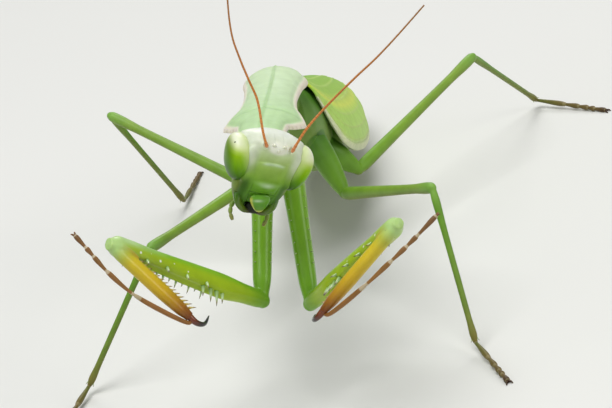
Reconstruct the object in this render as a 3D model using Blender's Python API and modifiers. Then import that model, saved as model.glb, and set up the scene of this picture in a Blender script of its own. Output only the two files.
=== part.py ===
"""A green praying mantis, life size, standing on four feet with its grasping legs held out before its face.

Every measure is in millimetres from the point on the floor below the head, with +X to the animal's left,
+Y towards its tail and +Z up. The root empty moves the whole model so that it stands centred on the origin.
Each piece is modelled along its own +Y and set at its joint by a frame.
"""

import math

import bmesh
import bpy
from mathutils import Matrix, Vector

MM = 0.001
GAP = 0.30                       # clearance between two pieces that meet
SWELL = 0.36                     # how far a neighbour's corners move out to cut that clearance
FLOOR_CENTRE = (6.12, 30.10)     # middle of the animal's footprint box

# ---------------------------------------------------------------- head
HEAD = Vector((0.08, -0.01, 23.98))          # middle between the eyes
HEAD_UP = Vector((0.523, -0.149, 0.840))
HEAD_BACK = Vector((-0.072, 0.973, 0.218))
# height above the eyes' middle, half width, depth to the face, depth to the nape
HEAD_SECTIONS = (
    (-4.95, 0.75, 0.55, 0.60), (-4.50, 1.40, 0.80, 1.00), (-3.70, 2.05, 1.10, 1.30),
    (-2.75, 2.45, 1.45, 1.45), (-2.00, 2.65, 1.75, 1.50), (-1.00, 2.85, 1.85, 1.55),
    (0.40, 3.00, 1.90, 1.65), (1.80, 2.95, 1.90, 1.75),
    (2.75, 2.50, 1.60, 1.70), (3.25, 1.60, 0.95, 1.15), (3.45, 0.55, 0.30, 0.45),
)
EYE_CENTRE = (2.90, -0.10, 0.30)
EYE_RADII = (1.32, 1.75, 2.25)
EYE_LEAN = math.radians(11)      # the eyes' tops stand outwards
LABRUM_FOOT = (0.0, -1.75, -4.00)              # in the head's own frame: left, back, up
LABRUM_SECTIONS = (
    (0.0, 0.45, 0.20, 0.40), (0.35, 0.85, 0.30, 0.45), (0.9, 0.95, 0.32, 0.45), (1.35, 0.85, 0.28, 0.45),
)
PALP_PATH = ((1.2, 0.3, -4.2), (1.7, 0.1, -4.6), (1.8, -0.4, -5.2), (1.5, -0.9, -5.8))
PALP_RADIUS = 0.28
ANTENNA_ROOT = (1.2, -1.95, 2.70)
ANTENNA_RADIUS = (0.29, 0.25)    # base, tip
ANTENNA_PATHS = {
    "left": ((4.5, -1.9, 27.1), (6.9, -0.7, 28.4), (10.0, 0.5, 29.9), (12.1, 1.4, 30.8), (14.4, 2.9, 31.8),
             (17.7, 5.6, 33.2)),
    "right": ((0.6, -2.1, 27.9), (0.8, -0.2, 30.2), (0.5, 1.0, 31.9), (0.2, 2.4, 33.5), (0.0, 4.2, 35.5),
              (0.4, 6.4, 38.1), (1.2, 8.4, 41.0)),
}
ANTENNA_RINGS = 19

# ---------------------------------------------------------------- trunk
PRONOTUM_FRONT = Vector((0.05, 3.56, 25.32))
PRONOTUM_REAR = Vector((2.93, 29.48, 21.71))
PRONOTUM_UP = Vector((0.173, 0.109, 0.979))
# distance from the front edge, half width, rise of the crown, thickness below the margin, its droop
PRONOTUM_SECTIONS = (
    (0.0, 1.90, 0.55, 0.30, 0.10), (1.2, 2.25, 0.90, 0.35, 0.15), (4.2, 2.45, 1.10, 0.35, 0.20),
    (5.8, 3.20, 1.15, 0.35, 0.60), (7.3, 3.95, 1.20, 0.35, 0.80), (9.4, 3.55, 1.15, 0.35, 0.50),
    (12.5, 2.85, 1.10, 0.35, 0.25), (16.0, 2.65, 1.10, 0.35, 0.15), (21.0, 2.85, 1.30, 0.35, 0.20),
    (24.8, 3.25, 1.55, 0.35, 0.30), (26.4, 2.90, 1.40, 0.30, 0.30),
)
# distance from the front edge, half width, rise, drop
PROTHORAX_SECTIONS = (
    (1.4, 1.30, 0.9, 1.0), (4.0, 1.90, 1.1, 1.9), (8.5, 2.20, 1.1, 2.4), (12.5, 1.70, 1.1, 1.6),
    (19.0, 1.55, 1.1, 1.3), (25.4, 1.80, 1.2, 1.5),
)
PROTHORAX_DEPTH = 1.5            # its axis lies this far below the pronotum's margin
NECK_ROOT = (0.0, 0.9, -0.2)     # in the head's own frame
NECK_SECTIONS = ((0.0, 1.00, 0.90, 0.90), (1.0, 1.15, 0.90, 1.10))
NECK_END = 3.0                   # it runs this far under the pronotum

THORAX = Vector((3.8, 31.9, 15.3))
THORAX_ALONG = Vector((0.128, 0.914, -0.386))
THORAX_UP = Vector((0.145, 0.368, 0.919))
THORAX_SECTIONS = (
    (-4.6, 1.5, 4.1, -0.6), (-3.2, 2.4, 4.2, 2.0), (-0.5, 3.0, 3.9, 3.3), (3.0, 3.1, 3.6, 3.6),
    (5.9, 2.9, 3.2, 3.2),
)

ABDOMEN = THORAX + THORAX_ALONG * 6.3 - THORAX_UP * 1.25
ABDOMEN_ALONG = Vector((0.110, 0.952, -0.286))
ABDOMEN_UP = Vector((0.150, 0.270, 0.951))
ABDOMEN_SECTIONS = (
    (0.0, 2.7, 2.5, 3.0), (5.0, 3.5, 2.6, 3.6), (12.0, 3.9, 2.7, 3.8), (19.0, 3.8, 2.5, 3.5),
    (26.0, 3.1, 2.0, 2.7), (31.0, 2.1, 1.4, 1.8), (34.0, 0.8, 0.7, 0.8),
)
ABDOMEN_RINGS = 9                # tergites
ABDOMEN_CUTS = (0.0, 11.33, 22.67, 34.0)
RING_GROOVE = 0.05               # share of the girth lost in each fold between tergites
RING_STEPS = ((0.0, 1.0), (0.25, 0.0), (0.8, 0.0))    # share of a tergite's length, how deep in the fold
CERCUS_PATH = ((0.9, 31.0, 0.2), (2.3, 33.2, 0.3), (3.0, 36.0, 0.5))
CERCUS_RADII = (0.50, 0.46, 0.42, 0.38, 0.34, 0.29, 0.25)

# ---------------------------------------------------------------- wings
WING_ALONG = Vector((0.110, 0.945, -0.305))
WING_UP = Vector((0.150, 0.295, 0.944))
# distance behind the thorax's middle, crown height, widest reach, margin reach, margin height
TEGMEN_SECTIONS = (
    (-2.5, 4.95, 2.5, 2.4, 4.0), (0.5, 5.00, 3.7, 3.5, 2.2), (4.0, 4.80, 4.7, 4.4, -1.2),
    (8.0, 4.50, 5.3, 5.0, -3.4), (14.0, 4.20, 5.7, 5.4, -3.6), (22.0, 4.00, 5.6, 5.3, -3.0),
    (30.0, 3.75, 4.9, 4.5, -1.6), (37.0, 3.35, 3.5, 3.1, 0.4), (41.5, 2.80, 1.8, 1.2, 1.9),
)
TEGMEN_OVERLAP = 0.9             # each forewing's reach past the midline
OVERLAP_ENDS = (-4.0, 42.5)      # where that reach has run out
OVERLAP_EASE = 8.0               # and how far from there it is full
LIFT_SHARE = 0.85                # of its width, where it no longer lies on the other
TEGMEN_THICK = 0.50
TEGMEN_SPAN = (-2.5, 41.5)
HINDWING_SPAN = (8.0, 40.6)
HINDWING_TAPER = (42.0, 12.0)    # where the strip would come to a point, and over what length it narrows
TEGMEN_LIFT = 1.60               # the left forewing lies on the right one
HINDWING_DROP = 1.30             # the folded hindwings lie below the forewings
HINDWING_BEND = 0.28             # and fall away from the midline by this times its square
HINDWING_WIDTH = 1.5

# ---------------------------------------------------------------- grasping legs
# root of the coxa, trochanter, knee, end of the tibia
FORE = {
    "left": ((2.37, 9.60, 21.3), (0.91, 0.78, 9.35), (9.98, -9.49, 18.86), (1.84, -8.32, 12.16)),
    "right": ((-0.15, 9.60, 21.3), (-3.41, 0.36, 11.04), (-14.79, -7.22, 22.78), (-9.81, -8.37, 14.81)),
}
FORE_TARSUS = {
    "left": ((2.9, -9.7, 12.0), (5.7, -11.2, 14.6), (8.5, -12.0, 16.6), (11.0, -11.9, 18.1),
             (13.6, -11.5, 19.7)),
    "right": ((-10.7, -9.2, 14.5), (-13.7, -9.5, 18.3), (-15.6, -9.7, 21.3), (-16.8, -9.2, 23.6),
              (-17.7, -8.4, 25.1)),
}
# share of the length, half thickness, rise to the back edge, drop to the toothed edge
FORE_COXA_SECTIONS = (
    (0.00, 1.10, 1.15, 1.15), (0.15, 1.20, 1.30, 1.30), (0.50, 1.00, 1.15, 1.10), (0.85, 0.90, 1.00, 0.95),
    (1.00, 0.60, 0.65, 0.65),
)
FORE_FEMUR_SECTIONS = (
    (0.00, 0.55, 0.70, 0.70), (0.05, 0.85, 0.95, 0.95), (0.13, 0.85, 0.95, 1.05), (0.30, 0.95, 1.20, 1.50),
    (0.50, 0.90, 1.10, 1.35), (0.75, 0.78, 0.95, 1.00), (0.92, 0.72, 1.00, 0.80), (0.98, 0.60, 0.85, 0.60),
    (1.02, 0.25, 0.35, 0.25),
)
FORE_TIBIA_SECTIONS = (
    (0.00, 0.45, 0.60, 0.60), (0.12, 0.50, 0.75, 0.70), (0.60, 0.48, 0.75, 0.70), (0.88, 0.42, 0.62, 0.55),
    (1.00, 0.30, 0.40, 0.40),
)
CLAW_DROP = 2.25
DISCOIDAL_SPINES = ((0.30, 1.3), (0.34, 1.9), (0.38, 1.6), (0.43, 1.2))       # place along the femur, length
FEMUR_SPINES = ((0.48, 1.0), (0.56, 0.7), (0.64, 0.9), (0.72, 0.5), (0.79, 0.4))
TIBIA_TEETH = 7
TIBIA_TEETH_SPAN = (0.46, 0.92)
CLAW_RADII = (0.36, 0.36, 0.34, 0.30, 0.26, 0.21, 0.14)
FORE_TARSUS_RADIUS = 0.28

# ---------------------------------------------------------------- walking legs
# hip, knee, ankle, toe
WALK = {
    "mid_left": ((6.8, 25.1, 9.7), (14.8, 10.5, 13.7), (15.0, 1.7, 0.9), (16.8, -7.4, 0.10)),
    "mid_right": ((-1.7, 27.8, 12.5), (-13.0, 15.2, 13.0), (-22.3, 14.3, 0.9), (-25.8, 6.2, 0.10)),
    "hind_left": ((8.9, 34.7, 8.2), (24.0, 48.3, 12.4), (30.9, 61.5, 0.9), (38.1, 54.3, 0.10)),
    "hind_right": ((-1.3, 35.5, 8.2), (-15.2, 48.4, 16.0), (-10.4, 58.1, 0.9), (-8.0, 68.3, 0.10)),
}
COXA_ROOT = {"mid": (1.9, -2.2, -1.6), "hind": (1.9, 4.3, -1.9)}   # in the thorax's own frame
WALK_COXA_RADII = ((0.0, 1.35), (0.35, 1.30), (0.8, 0.90), (1.0, 0.60))
WALK_FEMUR_RADII = (
    (0.0, 0.45), (0.04, 0.72), (0.12, 0.70), (0.35, 0.62), (0.80, 0.52), (0.94, 0.62), (0.99, 0.60),
    (1.02, 0.40),
)
WALK_TIBIA_RADII = ((0.01, 0.30), (0.08, 0.44), (0.3, 0.36), (0.85, 0.34), (0.95, 0.42), (1.0, 0.30))
TARSUS_SHARES = (0.42, 0.20, 0.13, 0.09, 0.16)    # the five joints of a foot
TARSUS_RADIUS = 0.36
FLOOR_UP = (0, 0, 1)
FOOT_START = 0.5                 # a foot's first ring lies this far past the ankle

# ---------------------------------------------------------------- colours: base, roughness
COLOURS = {
    "cuticle": ((0.33, 0.52, 0.16), 0.45),
    "eye": ((0.42, 0.58, 0.06), 0.15),
    "antenna": ((0.52, 0.22, 0.06), 0.50),
    "shield": ((0.50, 0.66, 0.40), 0.45),
    "tegmen": ((0.28, 0.50, 0.12), 0.40),
    "hindwing": ((0.55, 0.60, 0.35), 0.35),
    "tibia": ((0.70, 0.50, 0.08), 0.40),
    "foot": ((0.42, 0.26, 0.10), 0.50),
    "mouth": ((0.16, 0.40, 0.06), 0.30),
}


# ================================================================ scene helpers
def clear_scene():
    for item in list(bpy.data.objects):
        bpy.data.objects.remove(item, do_unlink=True)


def collection(name):
    made = bpy.data.collections.new(name)
    bpy.context.scene.collection.children.link(made)
    return made


def material(slot):
    name = "mantis_" + slot
    if name in bpy.data.materials:
        return bpy.data.materials[name]
    colour, roughness = COLOURS[slot]
    made = bpy.data.materials.new(name)
    made.use_nodes = True
    shader = made.node_tree.nodes["Principled BSDF"]
    shader.inputs["Base Color"].default_value = (*colour, 1.0)
    shader.inputs["Roughness"].default_value = roughness
    shader.inputs["Metallic"].default_value = 0.0
    made.diffuse_color = (*colour, 1.0)
    return made


def frame(at, along, up):
    """A frame at a point, with +Y along a direction and +Z as near to up as it can be."""
    y = Vector(along).normalized()
    z = Vector(up) - Vector(up).project(y)
    z.normalize()
    made = Matrix((y.cross(z), y, z)).transposed().to_4x4()
    made.translation = Vector(at) * MM
    return made


def place(name, mesh, matrix, slot):
    """Puts a mesh, whose vertices are in millimetres, into the model as the node of that name."""
    mesh.transform(Matrix.Scale(MM, 4))
    mesh.materials.append(material(slot))
    mesh.shade_smooth()
    piece = bpy.data.objects.new(name, mesh)
    parts.objects.link(piece)
    piece.parent = root
    piece.matrix_local = matrix
    frames[name] = matrix
    return piece


def to_mesh(bm, name):
    mesh = bpy.data.meshes.new(name)
    bmesh.ops.recalc_face_normals(bm, faces=bm.faces)
    bm.to_mesh(mesh)
    bm.free()
    return mesh


# ================================================================ shapes
def smooth_row(table, at):
    """The row of a table at a place in its first column, on a curve that doesn't overshoot the rows."""
    places = [row[0] for row in table]
    last = len(table) - 1
    at = min(max(at, places[0]), places[last])
    i = max(k for k in range(last) if places[k] <= at) if at > places[0] else 0

    def slope(k, column):
        if k in (0, last):
            return 0.0 if k else (table[1][column] - table[0][column]) / (places[1] - places[0])
        before = (table[k][column] - table[k - 1][column]) / (places[k] - places[k - 1])
        after = (table[k + 1][column] - table[k][column]) / (places[k + 1] - places[k])
        return 0.0 if before * after <= 0 else 2 * before * after / (before + after)

    step = places[i + 1] - places[i]
    t = (at - places[i]) / step
    row = [at]
    for column in range(1, len(table[0])):
        a, b = table[i][column], table[i + 1][column]
        row.append(
            a * (2 * t**3 - 3 * t**2 + 1) + b * (3 * t**2 - 2 * t**3)
            + step * ((t**3 - 2 * t**2 + t) * slope(i, column) + (t**3 - t**2) * slope(i + 1, column))
        )
    return row


def loft(sections, sides=12, power=2.0):
    """A closed body through sections (place along +Y, half width, rise, drop, droop of the sides)."""
    bm = bmesh.new()
    rings = []
    for y, half, rise, drop, *rest in sections:
        droop = rest[0] if rest else 0.0
        ring = []
        for k in range(sides):
            c, s = math.cos(math.tau * k / sides), math.sin(math.tau * k / sides)
            x = math.copysign(abs(c) ** (2 / power), c)
            z = math.copysign(abs(s) ** (2 / power), s) * (rise if s > 0 else drop)
            ring.append(bm.verts.new((half * x, y, z - droop * x * x)))
        rings.append(ring)
    for a, b in zip(rings, rings[1:]):
        for k in range(sides):
            m = (k + 1) % sides
            bm.faces.new((a[k], a[m], b[m], b[k]))
    bm.faces.new(rings[0])
    bm.faces.new(rings[-1])
    return bm


def rows_between(table, start, end, count):
    return [smooth_row(table, start + (end - start) * k / (count - 1)) for k in range(count)]


def round_rows(radii):
    """Rows of a limb that is round, from a table of (share of its length, radius)."""
    return [(share, radius, radius, radius) for share, radius in radii]


def tube(points, radii, sides=8):
    """A closed tube along a path, with a radius at each of its points."""
    bm = bmesh.new()
    rings = []
    side = None
    for k, point in enumerate(points):
        ahead = (points[min(k + 1, len(points) - 1)] - points[max(k - 1, 0)]).normalized()
        side = ahead.orthogonal().normalized() if side is None else (side - side.project(ahead)).normalized()
        other = ahead.cross(side)
        ring = []
        for m in range(sides):
            turn = math.tau * m / sides
            ring.append(bm.verts.new(point + radii[k] * (math.cos(turn) * side + math.sin(turn) * other)))
        rings.append(ring)
    for a, b in zip(rings, rings[1:]):
        for k in range(sides):
            m = (k + 1) % sides
            bm.faces.new((a[k], a[m], b[m], b[k]))
    bm.faces.new(rings[0])
    bm.faces.new(rings[-1])
    return bm


def curve_points(knots, count):
    """Points at even steps of a smooth curve through a few knots."""
    knots = [Vector(k) for k in knots]
    padded = [2 * knots[0] - knots[1], *knots, 2 * knots[-1] - knots[-2]]
    points = []
    for k in range(count):
        t = (len(knots) - 1) * k / (count - 1)
        i = min(int(t), len(knots) - 2)
        t -= i
        a, b, c, d = padded[i:i + 4]
        square, cube = 2 * a - 5 * b + 4 * c - d, 3 * b - a - 3 * c + d
        points.append(0.5 * (2 * b + (c - a) * t + square * t**2 + cube * t**3))
    return points


def cone(at, along, radius, length, sides=5):
    """A spine: a cone whose base lies a little inside what it grows from."""
    bm = bmesh.new()
    tip = radius * 0.2
    bmesh.ops.create_cone(bm, cap_ends=True, segments=sides, radius1=radius, radius2=tip, depth=length)
    turn = Vector((0, 0, 1)).rotation_difference(Vector(along)).to_matrix().to_4x4()
    turn.translation = Vector(at) + Vector(along).normalized() * (length / 2)
    bmesh.ops.transform(bm, matrix=turn, verts=bm.verts)
    return bm


# ================================================================ joins and clearances
def helper(name, mesh, matrix):
    """A guide object that only cuts or joins, and isn't a piece of the model."""
    made = bpy.data.objects.new(name, mesh)
    guides.objects.link(made)
    made.parent = root
    made.matrix_local = matrix
    made.hide_render = True
    made.display_type = "WIRE"
    return made


def clear_of(piece, *others):
    """Cuts a piece back so that it keeps the gap to its neighbours."""
    for other in others:
        mesh = other.data.copy()
        bm = bmesh.new()
        bm.from_mesh(mesh)
        bm.normal_update()
        shifts = [vert.normal * SWELL * MM for vert in bm.verts]
        for vert, shift in zip(bm.verts, shifts):
            vert.co += shift
        bm.to_mesh(mesh)
        bm.free()
        cut = piece.modifiers.new("clear of " + other.name, "BOOLEAN")
        cut.operation = "DIFFERENCE"
        cut.object = helper(piece.name + "_clear_" + other.name, mesh, frames[other.name])


def grow(piece, *shapes):
    """Joins spines or claws, made in the piece's own frame, to the piece."""
    for number, bm in enumerate(shapes):
        mesh = to_mesh(bm, piece.name + "_growth")
        mesh.transform(Matrix.Scale(MM, 4))
        join = piece.modifiers.new("growth", "BOOLEAN")
        join.operation = "UNION"
        join.object = helper(f"{piece.name}_growth_{number}", mesh, frames[piece.name])


# ================================================================ head
def head_point(x, back, height):
    """A point given in the head's own frame: to its left, backwards and up from the eyes' middle."""
    across = HEAD_BACK.cross(HEAD_UP)
    return HEAD + across * x + HEAD_BACK * back + HEAD_UP * height


def make_head():
    capsule = place("head", to_mesh(loft(HEAD_SECTIONS, 20, 2.3), "head"),
                    frame(HEAD, HEAD_UP, -HEAD_BACK), "cuticle")
    for side, sign in (("left", 1), ("right", -1)):
        bm = bmesh.new()
        bmesh.ops.create_uvsphere(bm, u_segments=14, v_segments=10, radius=1.0)
        bmesh.ops.transform(bm, matrix=Matrix.Diagonal((*EYE_RADII, 1.0)), verts=bm.verts)
        bmesh.ops.rotate(bm, matrix=Matrix.Rotation(sign * EYE_LEAN, 3, "Y"), verts=bm.verts)
        x, back, height = EYE_CENTRE
        eye = place("eye_" + side, to_mesh(bm, "eye"),
                    frame(head_point(sign * x, back, height), HEAD_BACK, HEAD_UP), "eye")
        clear_of(capsule, eye)
    plate = place("labrum", to_mesh(loft(LABRUM_SECTIONS, 10), "labrum"),
                  frame(head_point(*LABRUM_FOOT), HEAD_UP, -HEAD_BACK), "mouth")
    clear_of(plate, capsule)
    return capsule


def make_antennae(capsule):
    x, back, height = ANTENNA_ROOT
    base, tip = ANTENNA_RADIUS
    last = ANTENNA_RINGS - 1
    for side, sign in (("left", 1), ("right", -1)):
        knots = (head_point(sign * x, back, height), *ANTENNA_PATHS[side])
        points = curve_points(knots, ANTENNA_RINGS)
        radii = [base + (tip - base) * k / last for k in range(ANTENNA_RINGS)]
        antenna = place("antenna_" + side, to_mesh(tube(points, radii, 6), "antenna"),
                        Matrix.Identity(4), "antenna")
        clear_of(antenna, capsule)


def make_palps(capsule):
    for side, sign in (("left", 1), ("right", -1)):
        points = curve_points([head_point(sign * x, back, height) for x, back, height in PALP_PATH], 8)
        palp = place("palp_" + side, to_mesh(tube(points, [PALP_RADIUS] * 8, 6), "palp"),
                     Matrix.Identity(4), "mouth")
        clear_of(palp, capsule)


# ================================================================ trunk
def make_trunk(capsule):
    along = PRONOTUM_REAR - PRONOTUM_FRONT
    shield = place("pronotum", to_mesh(loft(PRONOTUM_SECTIONS, 16), "pronotum"),
                   frame(PRONOTUM_FRONT, along, PRONOTUM_UP), "shield")
    axis = PRONOTUM_FRONT - PRONOTUM_UP * PROTHORAX_DEPTH
    rows = rows_between(PROTHORAX_SECTIONS, 1.4, 25.4, 11)
    body = place("prothorax", to_mesh(loft(rows, 12), "prothorax"),
                 frame(axis, along, PRONOTUM_UP), "cuticle")
    clear_of(body, shield)
    start, end = head_point(*NECK_ROOT), axis + along.normalized() * NECK_END
    neck = limb("neck", start, end, NECK_SECTIONS, PRONOTUM_UP, "cuticle", 12)
    clear_of(neck, capsule, body, shield)
    thorax = place("thorax", to_mesh(loft(rows_between(THORAX_SECTIONS, -4.6, 5.9, 8), 16, 2.3), "thorax"),
                   frame(THORAX, THORAX_ALONG, THORAX_UP), "cuticle")
    clear_of(thorax, shield, body)
    return shield, body, thorax


def make_abdomen():
    """Nine tergites in three lengths, with a shallow fold between one tergite and the next."""
    at = frame(ABDOMEN, ABDOMEN_ALONG, ABDOMEN_UP)
    pitch = ABDOMEN_CUTS[-1] / ABDOMEN_RINGS
    names = ("abdomen_front", "abdomen_middle", "abdomen_rear")
    made = []
    for name, start, end in zip(names, ABDOMEN_CUTS, ABDOMEN_CUTS[1:]):
        rows = []
        first, last = round(start / pitch), round(end / pitch)
        for ring in range(first, last):
            for share, narrow in RING_STEPS:
                rows.append((ring + share, narrow))
        rows.append((last, 1.0))
        sections = []
        for place_in_rings, narrow in rows:
            y = place_in_rings * pitch
            y = max(y, start + GAP / 2) if place_in_rings == first else y
            y = min(y, end - GAP / 2) if place_in_rings == last else y
            _, half, rise, drop = smooth_row(ABDOMEN_SECTIONS, y)
            girth = 1 - RING_GROOVE * narrow
            sections.append((y, half * girth, rise * girth, drop * girth))
        made.append(place(name, to_mesh(loft(sections, 16, 2.2), name), at, "cuticle"))
    for side, sign in (("left", 1), ("right", -1)):
        points = curve_points([(sign * x, y, z) for x, y, z in CERCUS_PATH], len(CERCUS_RADII))
        cercus = place("cercus_" + side, to_mesh(tube(points, CERCUS_RADII, 8), "cercus"),
                       at, "cuticle")
        clear_of(cercus, made[2])
    return made


# ================================================================ wings
def wing_point(side, y, share, lift):
    """A point of a folded forewing: share 0 is its edge past the midline, 1 its outer margin."""
    _, crown, reach, margin_x, margin_z = smooth_row(TEGMEN_SECTIONS, y)
    crown += lift * (1 - min(1.0, share / LIFT_SHARE) ** 2)
    start, end = OVERLAP_ENDS
    overlap = TEGMEN_OVERLAP * min(1.0, (y - start) / OVERLAP_EASE, (end - y) / OVERLAP_EASE)
    side_height = margin_z + 0.40 * (crown - margin_z)
    bends = (
        (-overlap, crown), (0.42 * reach, crown - 0.1), (1.05 * reach, side_height), (margin_x, margin_z),
    )
    weights = ((1 - share) ** 3, 3 * share * (1 - share) ** 2, 3 * share**2 * (1 - share), share**3)
    x = sum(w * b[0] for w, b in zip(weights, bends))
    z = sum(w * b[1] for w, b in zip(weights, bends))
    return Vector((side * x, y, z))


def sheet(points):
    """A grid of points as an open surface, made a shell by a Solidify modifier when it is placed."""
    bm = bmesh.new()
    grid = [[bm.verts.new(point) for point in row] for row in points]
    for a, b in zip(grid, grid[1:]):
        for k in range(len(a) - 1):
            bm.faces.new((a[k], a[k + 1], b[k + 1], b[k]))
    return bm


def spread(span, count):
    return [span[0] + (span[1] - span[0]) * k / (count - 1) for k in range(count)]


def fan_point(side, y, share):
    """A point of a folded hindwing, a narrow strip beside the midline, under the forewing."""
    crown = smooth_row(TEGMEN_SECTIONS, y)[1]
    end, taper = HINDWING_TAPER
    x = GAP + TEGMEN_THICK / 2 + share * HINDWING_WIDTH * min(1.0, (end - y) / taper)
    return Vector((side * x, y, crown - HINDWING_DROP - HINDWING_BEND * x * x))


def shell(name, rows, slot):
    """A wing: a surface made a thin shell."""
    wing = place(name, to_mesh(sheet(rows), name), frame(THORAX, WING_ALONG, WING_UP), slot)
    thickness = wing.modifiers.new("thickness", "SOLIDIFY")
    thickness.thickness = TEGMEN_THICK * MM
    thickness.offset = 0.0


def make_wings():
    for side, sign, lift in (("left", 1, TEGMEN_LIFT), ("right", -1, 0.0)):
        rows = [[wing_point(sign, y, m / 6, lift) for m in range(7)] for y in spread(TEGMEN_SPAN, 13)]
        shell("tegmen_" + side, rows, "tegmen")
        rows = [[fan_point(sign, y, m / 3) for m in range(4)] for y in spread(HINDWING_SPAN, 9)]
        shell("hindwing_" + side, rows, "hindwing")


# ================================================================ legs
def limb(name, start, end, table, up, slot, sides):
    """A limb between two points, from a table whose first column is a share of its length."""
    length = (end - start).length
    sections = [(row[0] * length, *row[1:]) for row in table]
    return place(name, to_mesh(loft(sections, sides), name), frame(start, end - start, up), slot)


def make_grasping_leg(side, sign, trunk, shield):
    hip, hinge, knee, end = (Vector(p) for p in FORE[side])
    coxa = limb("fore_coxa_" + side, hip, hinge, FORE_COXA_SECTIONS, (0, 1, 0), "cuticle", 12)
    clear_of(coxa, trunk, shield)
    length = (knee - hinge).length
    back = -(end - knee)                       # away from the edge that the tibia closes on
    femur = limb("fore_femur_" + side, hinge, knee, FORE_FEMUR_SECTIONS, back, "cuticle", 12)
    clear_of(femur, coxa)
    shank = (end - knee).length
    tibia = limb("fore_tibia_" + side, knee, end, FORE_TIBIA_SECTIONS, knee - hinge, "tibia", 10)
    clear_of(tibia, femur)
    spines = [cone((sign * 0.25, share * length, -1.15), (0.10 * sign, 0.25, -1), 0.20, size + 0.3)
              for share, size in DISCOIDAL_SPINES]
    spines += [cone((-sign * 0.35, share * length, -0.75), (-0.25 * sign, 0.25, -1), 0.17, size + 0.3)
               for share, size in FEMUR_SPINES]
    grow(femur, *spines)
    teeth = []
    first, last = TIBIA_TEETH_SPAN
    for k in range(TIBIA_TEETH):
        share = first + (last - first) * k / (TIBIA_TEETH - 1)
        teeth.append(cone((0, share * shank, -0.45), (0, 0.55, -1), 0.16, 0.45 + 0.25 * share))
    claw = ((0, shank - 0.6, -0.05), (0, shank + 0.7, 0.0), (0, shank + 1.5, -0.75),
            (0, shank + 1.55, -CLAW_DROP))
    teeth.append(tube(curve_points(claw, len(CLAW_RADII)), CLAW_RADII, 6))
    grow(tibia, *teeth)
    points = curve_points(FORE_TARSUS[side], 12)
    foot = place("fore_tarsus_" + side, to_mesh(tube(points, [FORE_TARSUS_RADIUS] * 12, 6), "tarsus"),
                 Matrix.Identity(4), "foot")
    clear_of(foot, tibia)


def bead_radius(share):
    """The radius of a foot at a share of its length: five joints, each widest near its far end."""
    start = 0.0
    for size in TARSUS_SHARES:
        if share <= start + size + 1e-6:
            t = (share - start) / size
            return TARSUS_RADIUS * (0.78 + 0.22 * math.sin(math.pi * min(1.0, t) ** 1.6))
        start += size
    return TARSUS_RADIUS * 0.78


def make_walking_leg(name, trunk):
    pair, side = name.split("_")
    sign = 1 if side == "left" else -1
    hip, knee, ankle, toe = (Vector(p) for p in WALK[name])
    x, y, z = COXA_ROOT[pair]
    across = THORAX_ALONG.cross(THORAX_UP)
    root_at = THORAX + across * (sign * x) + THORAX_ALONG * y + THORAX_UP * z
    coxa = limb(pair + "_coxa_" + side, root_at, hip, round_rows(WALK_COXA_RADII), (0, 1, 0), "cuticle", 10)
    clear_of(coxa, trunk)
    femur = limb(pair + "_femur_" + side, hip, knee, round_rows(WALK_FEMUR_RADII), FLOOR_UP, "cuticle", 10)
    clear_of(femur, coxa)
    tibia = limb(pair + "_tibia_" + side, knee, ankle, round_rows(WALK_TIBIA_RADII), (0, 1, 0), "cuticle", 8)
    clear_of(tibia, femur)
    length = (toe - ankle).length
    shares = [0.0]
    for size in TARSUS_SHARES:
        shares += [shares[-1] + size * 0.6, shares[-1] + size]
    shares = sorted(set(round(s, 4) for s in shares))
    sections = []
    for share in shares:
        radius = bead_radius(share)
        sections.append((max(share * length, FOOT_START), radius, radius, radius))
    at = frame(ankle, toe - ankle, FLOOR_UP)
    bm = loft(sections, 8)
    for vert in bm.verts:                       # the sole is pressed flat on the floor
        low = at @ (vert.co * MM)
        if low.z < 0:
            low.z = 0
            vert.co = (at.inverted() @ low) / MM
    foot = place(pair + "_tarsus_" + side, to_mesh(bm, "tarsus"), at, "foot")
    clear_of(foot, tibia)


# ================================================================ the whole animal
clear_scene()
parts = collection("praying_mantis")
guides = collection("guides")
frames = {}                      # each piece's frame, under the root empty
root = bpy.data.objects.new("root_empty", None)
parts.objects.link(root)
root.location = (-FLOOR_CENTRE[0] * MM, -FLOOR_CENTRE[1] * MM, 0.0)

head_capsule = make_head()
make_antennae(head_capsule)
make_palps(head_capsule)
pronotum, prothorax, thorax = make_trunk(head_capsule)
abdomen = make_abdomen()
clear_of(abdomen[0], thorax)
make_wings()
make_grasping_leg("left", 1, prothorax, pronotum)
make_grasping_leg("right", -1, prothorax, pronotum)
for leg in WALK:
    make_walking_leg(leg, thorax)
bpy.context.view_layer.update()
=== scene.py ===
"""The looks of a green praying mantis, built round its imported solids.

Shapes are made in millimetres in the animal's own frame: +X to its left, +Y towards its tail, +Z up, from
the point on the floor below its head. set_piece() moves each one to the row frame, in metres. One continuous
skin stands for the neck, trunk, abdomen and limbs, and another for the head. Eyes, mouth parts, feelers,
shield, wings, spines, claws and feet are pieces of their own.
"""

import math

import bmesh
import bpy
import numpy as np
from mathutils import Matrix, Vector


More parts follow.
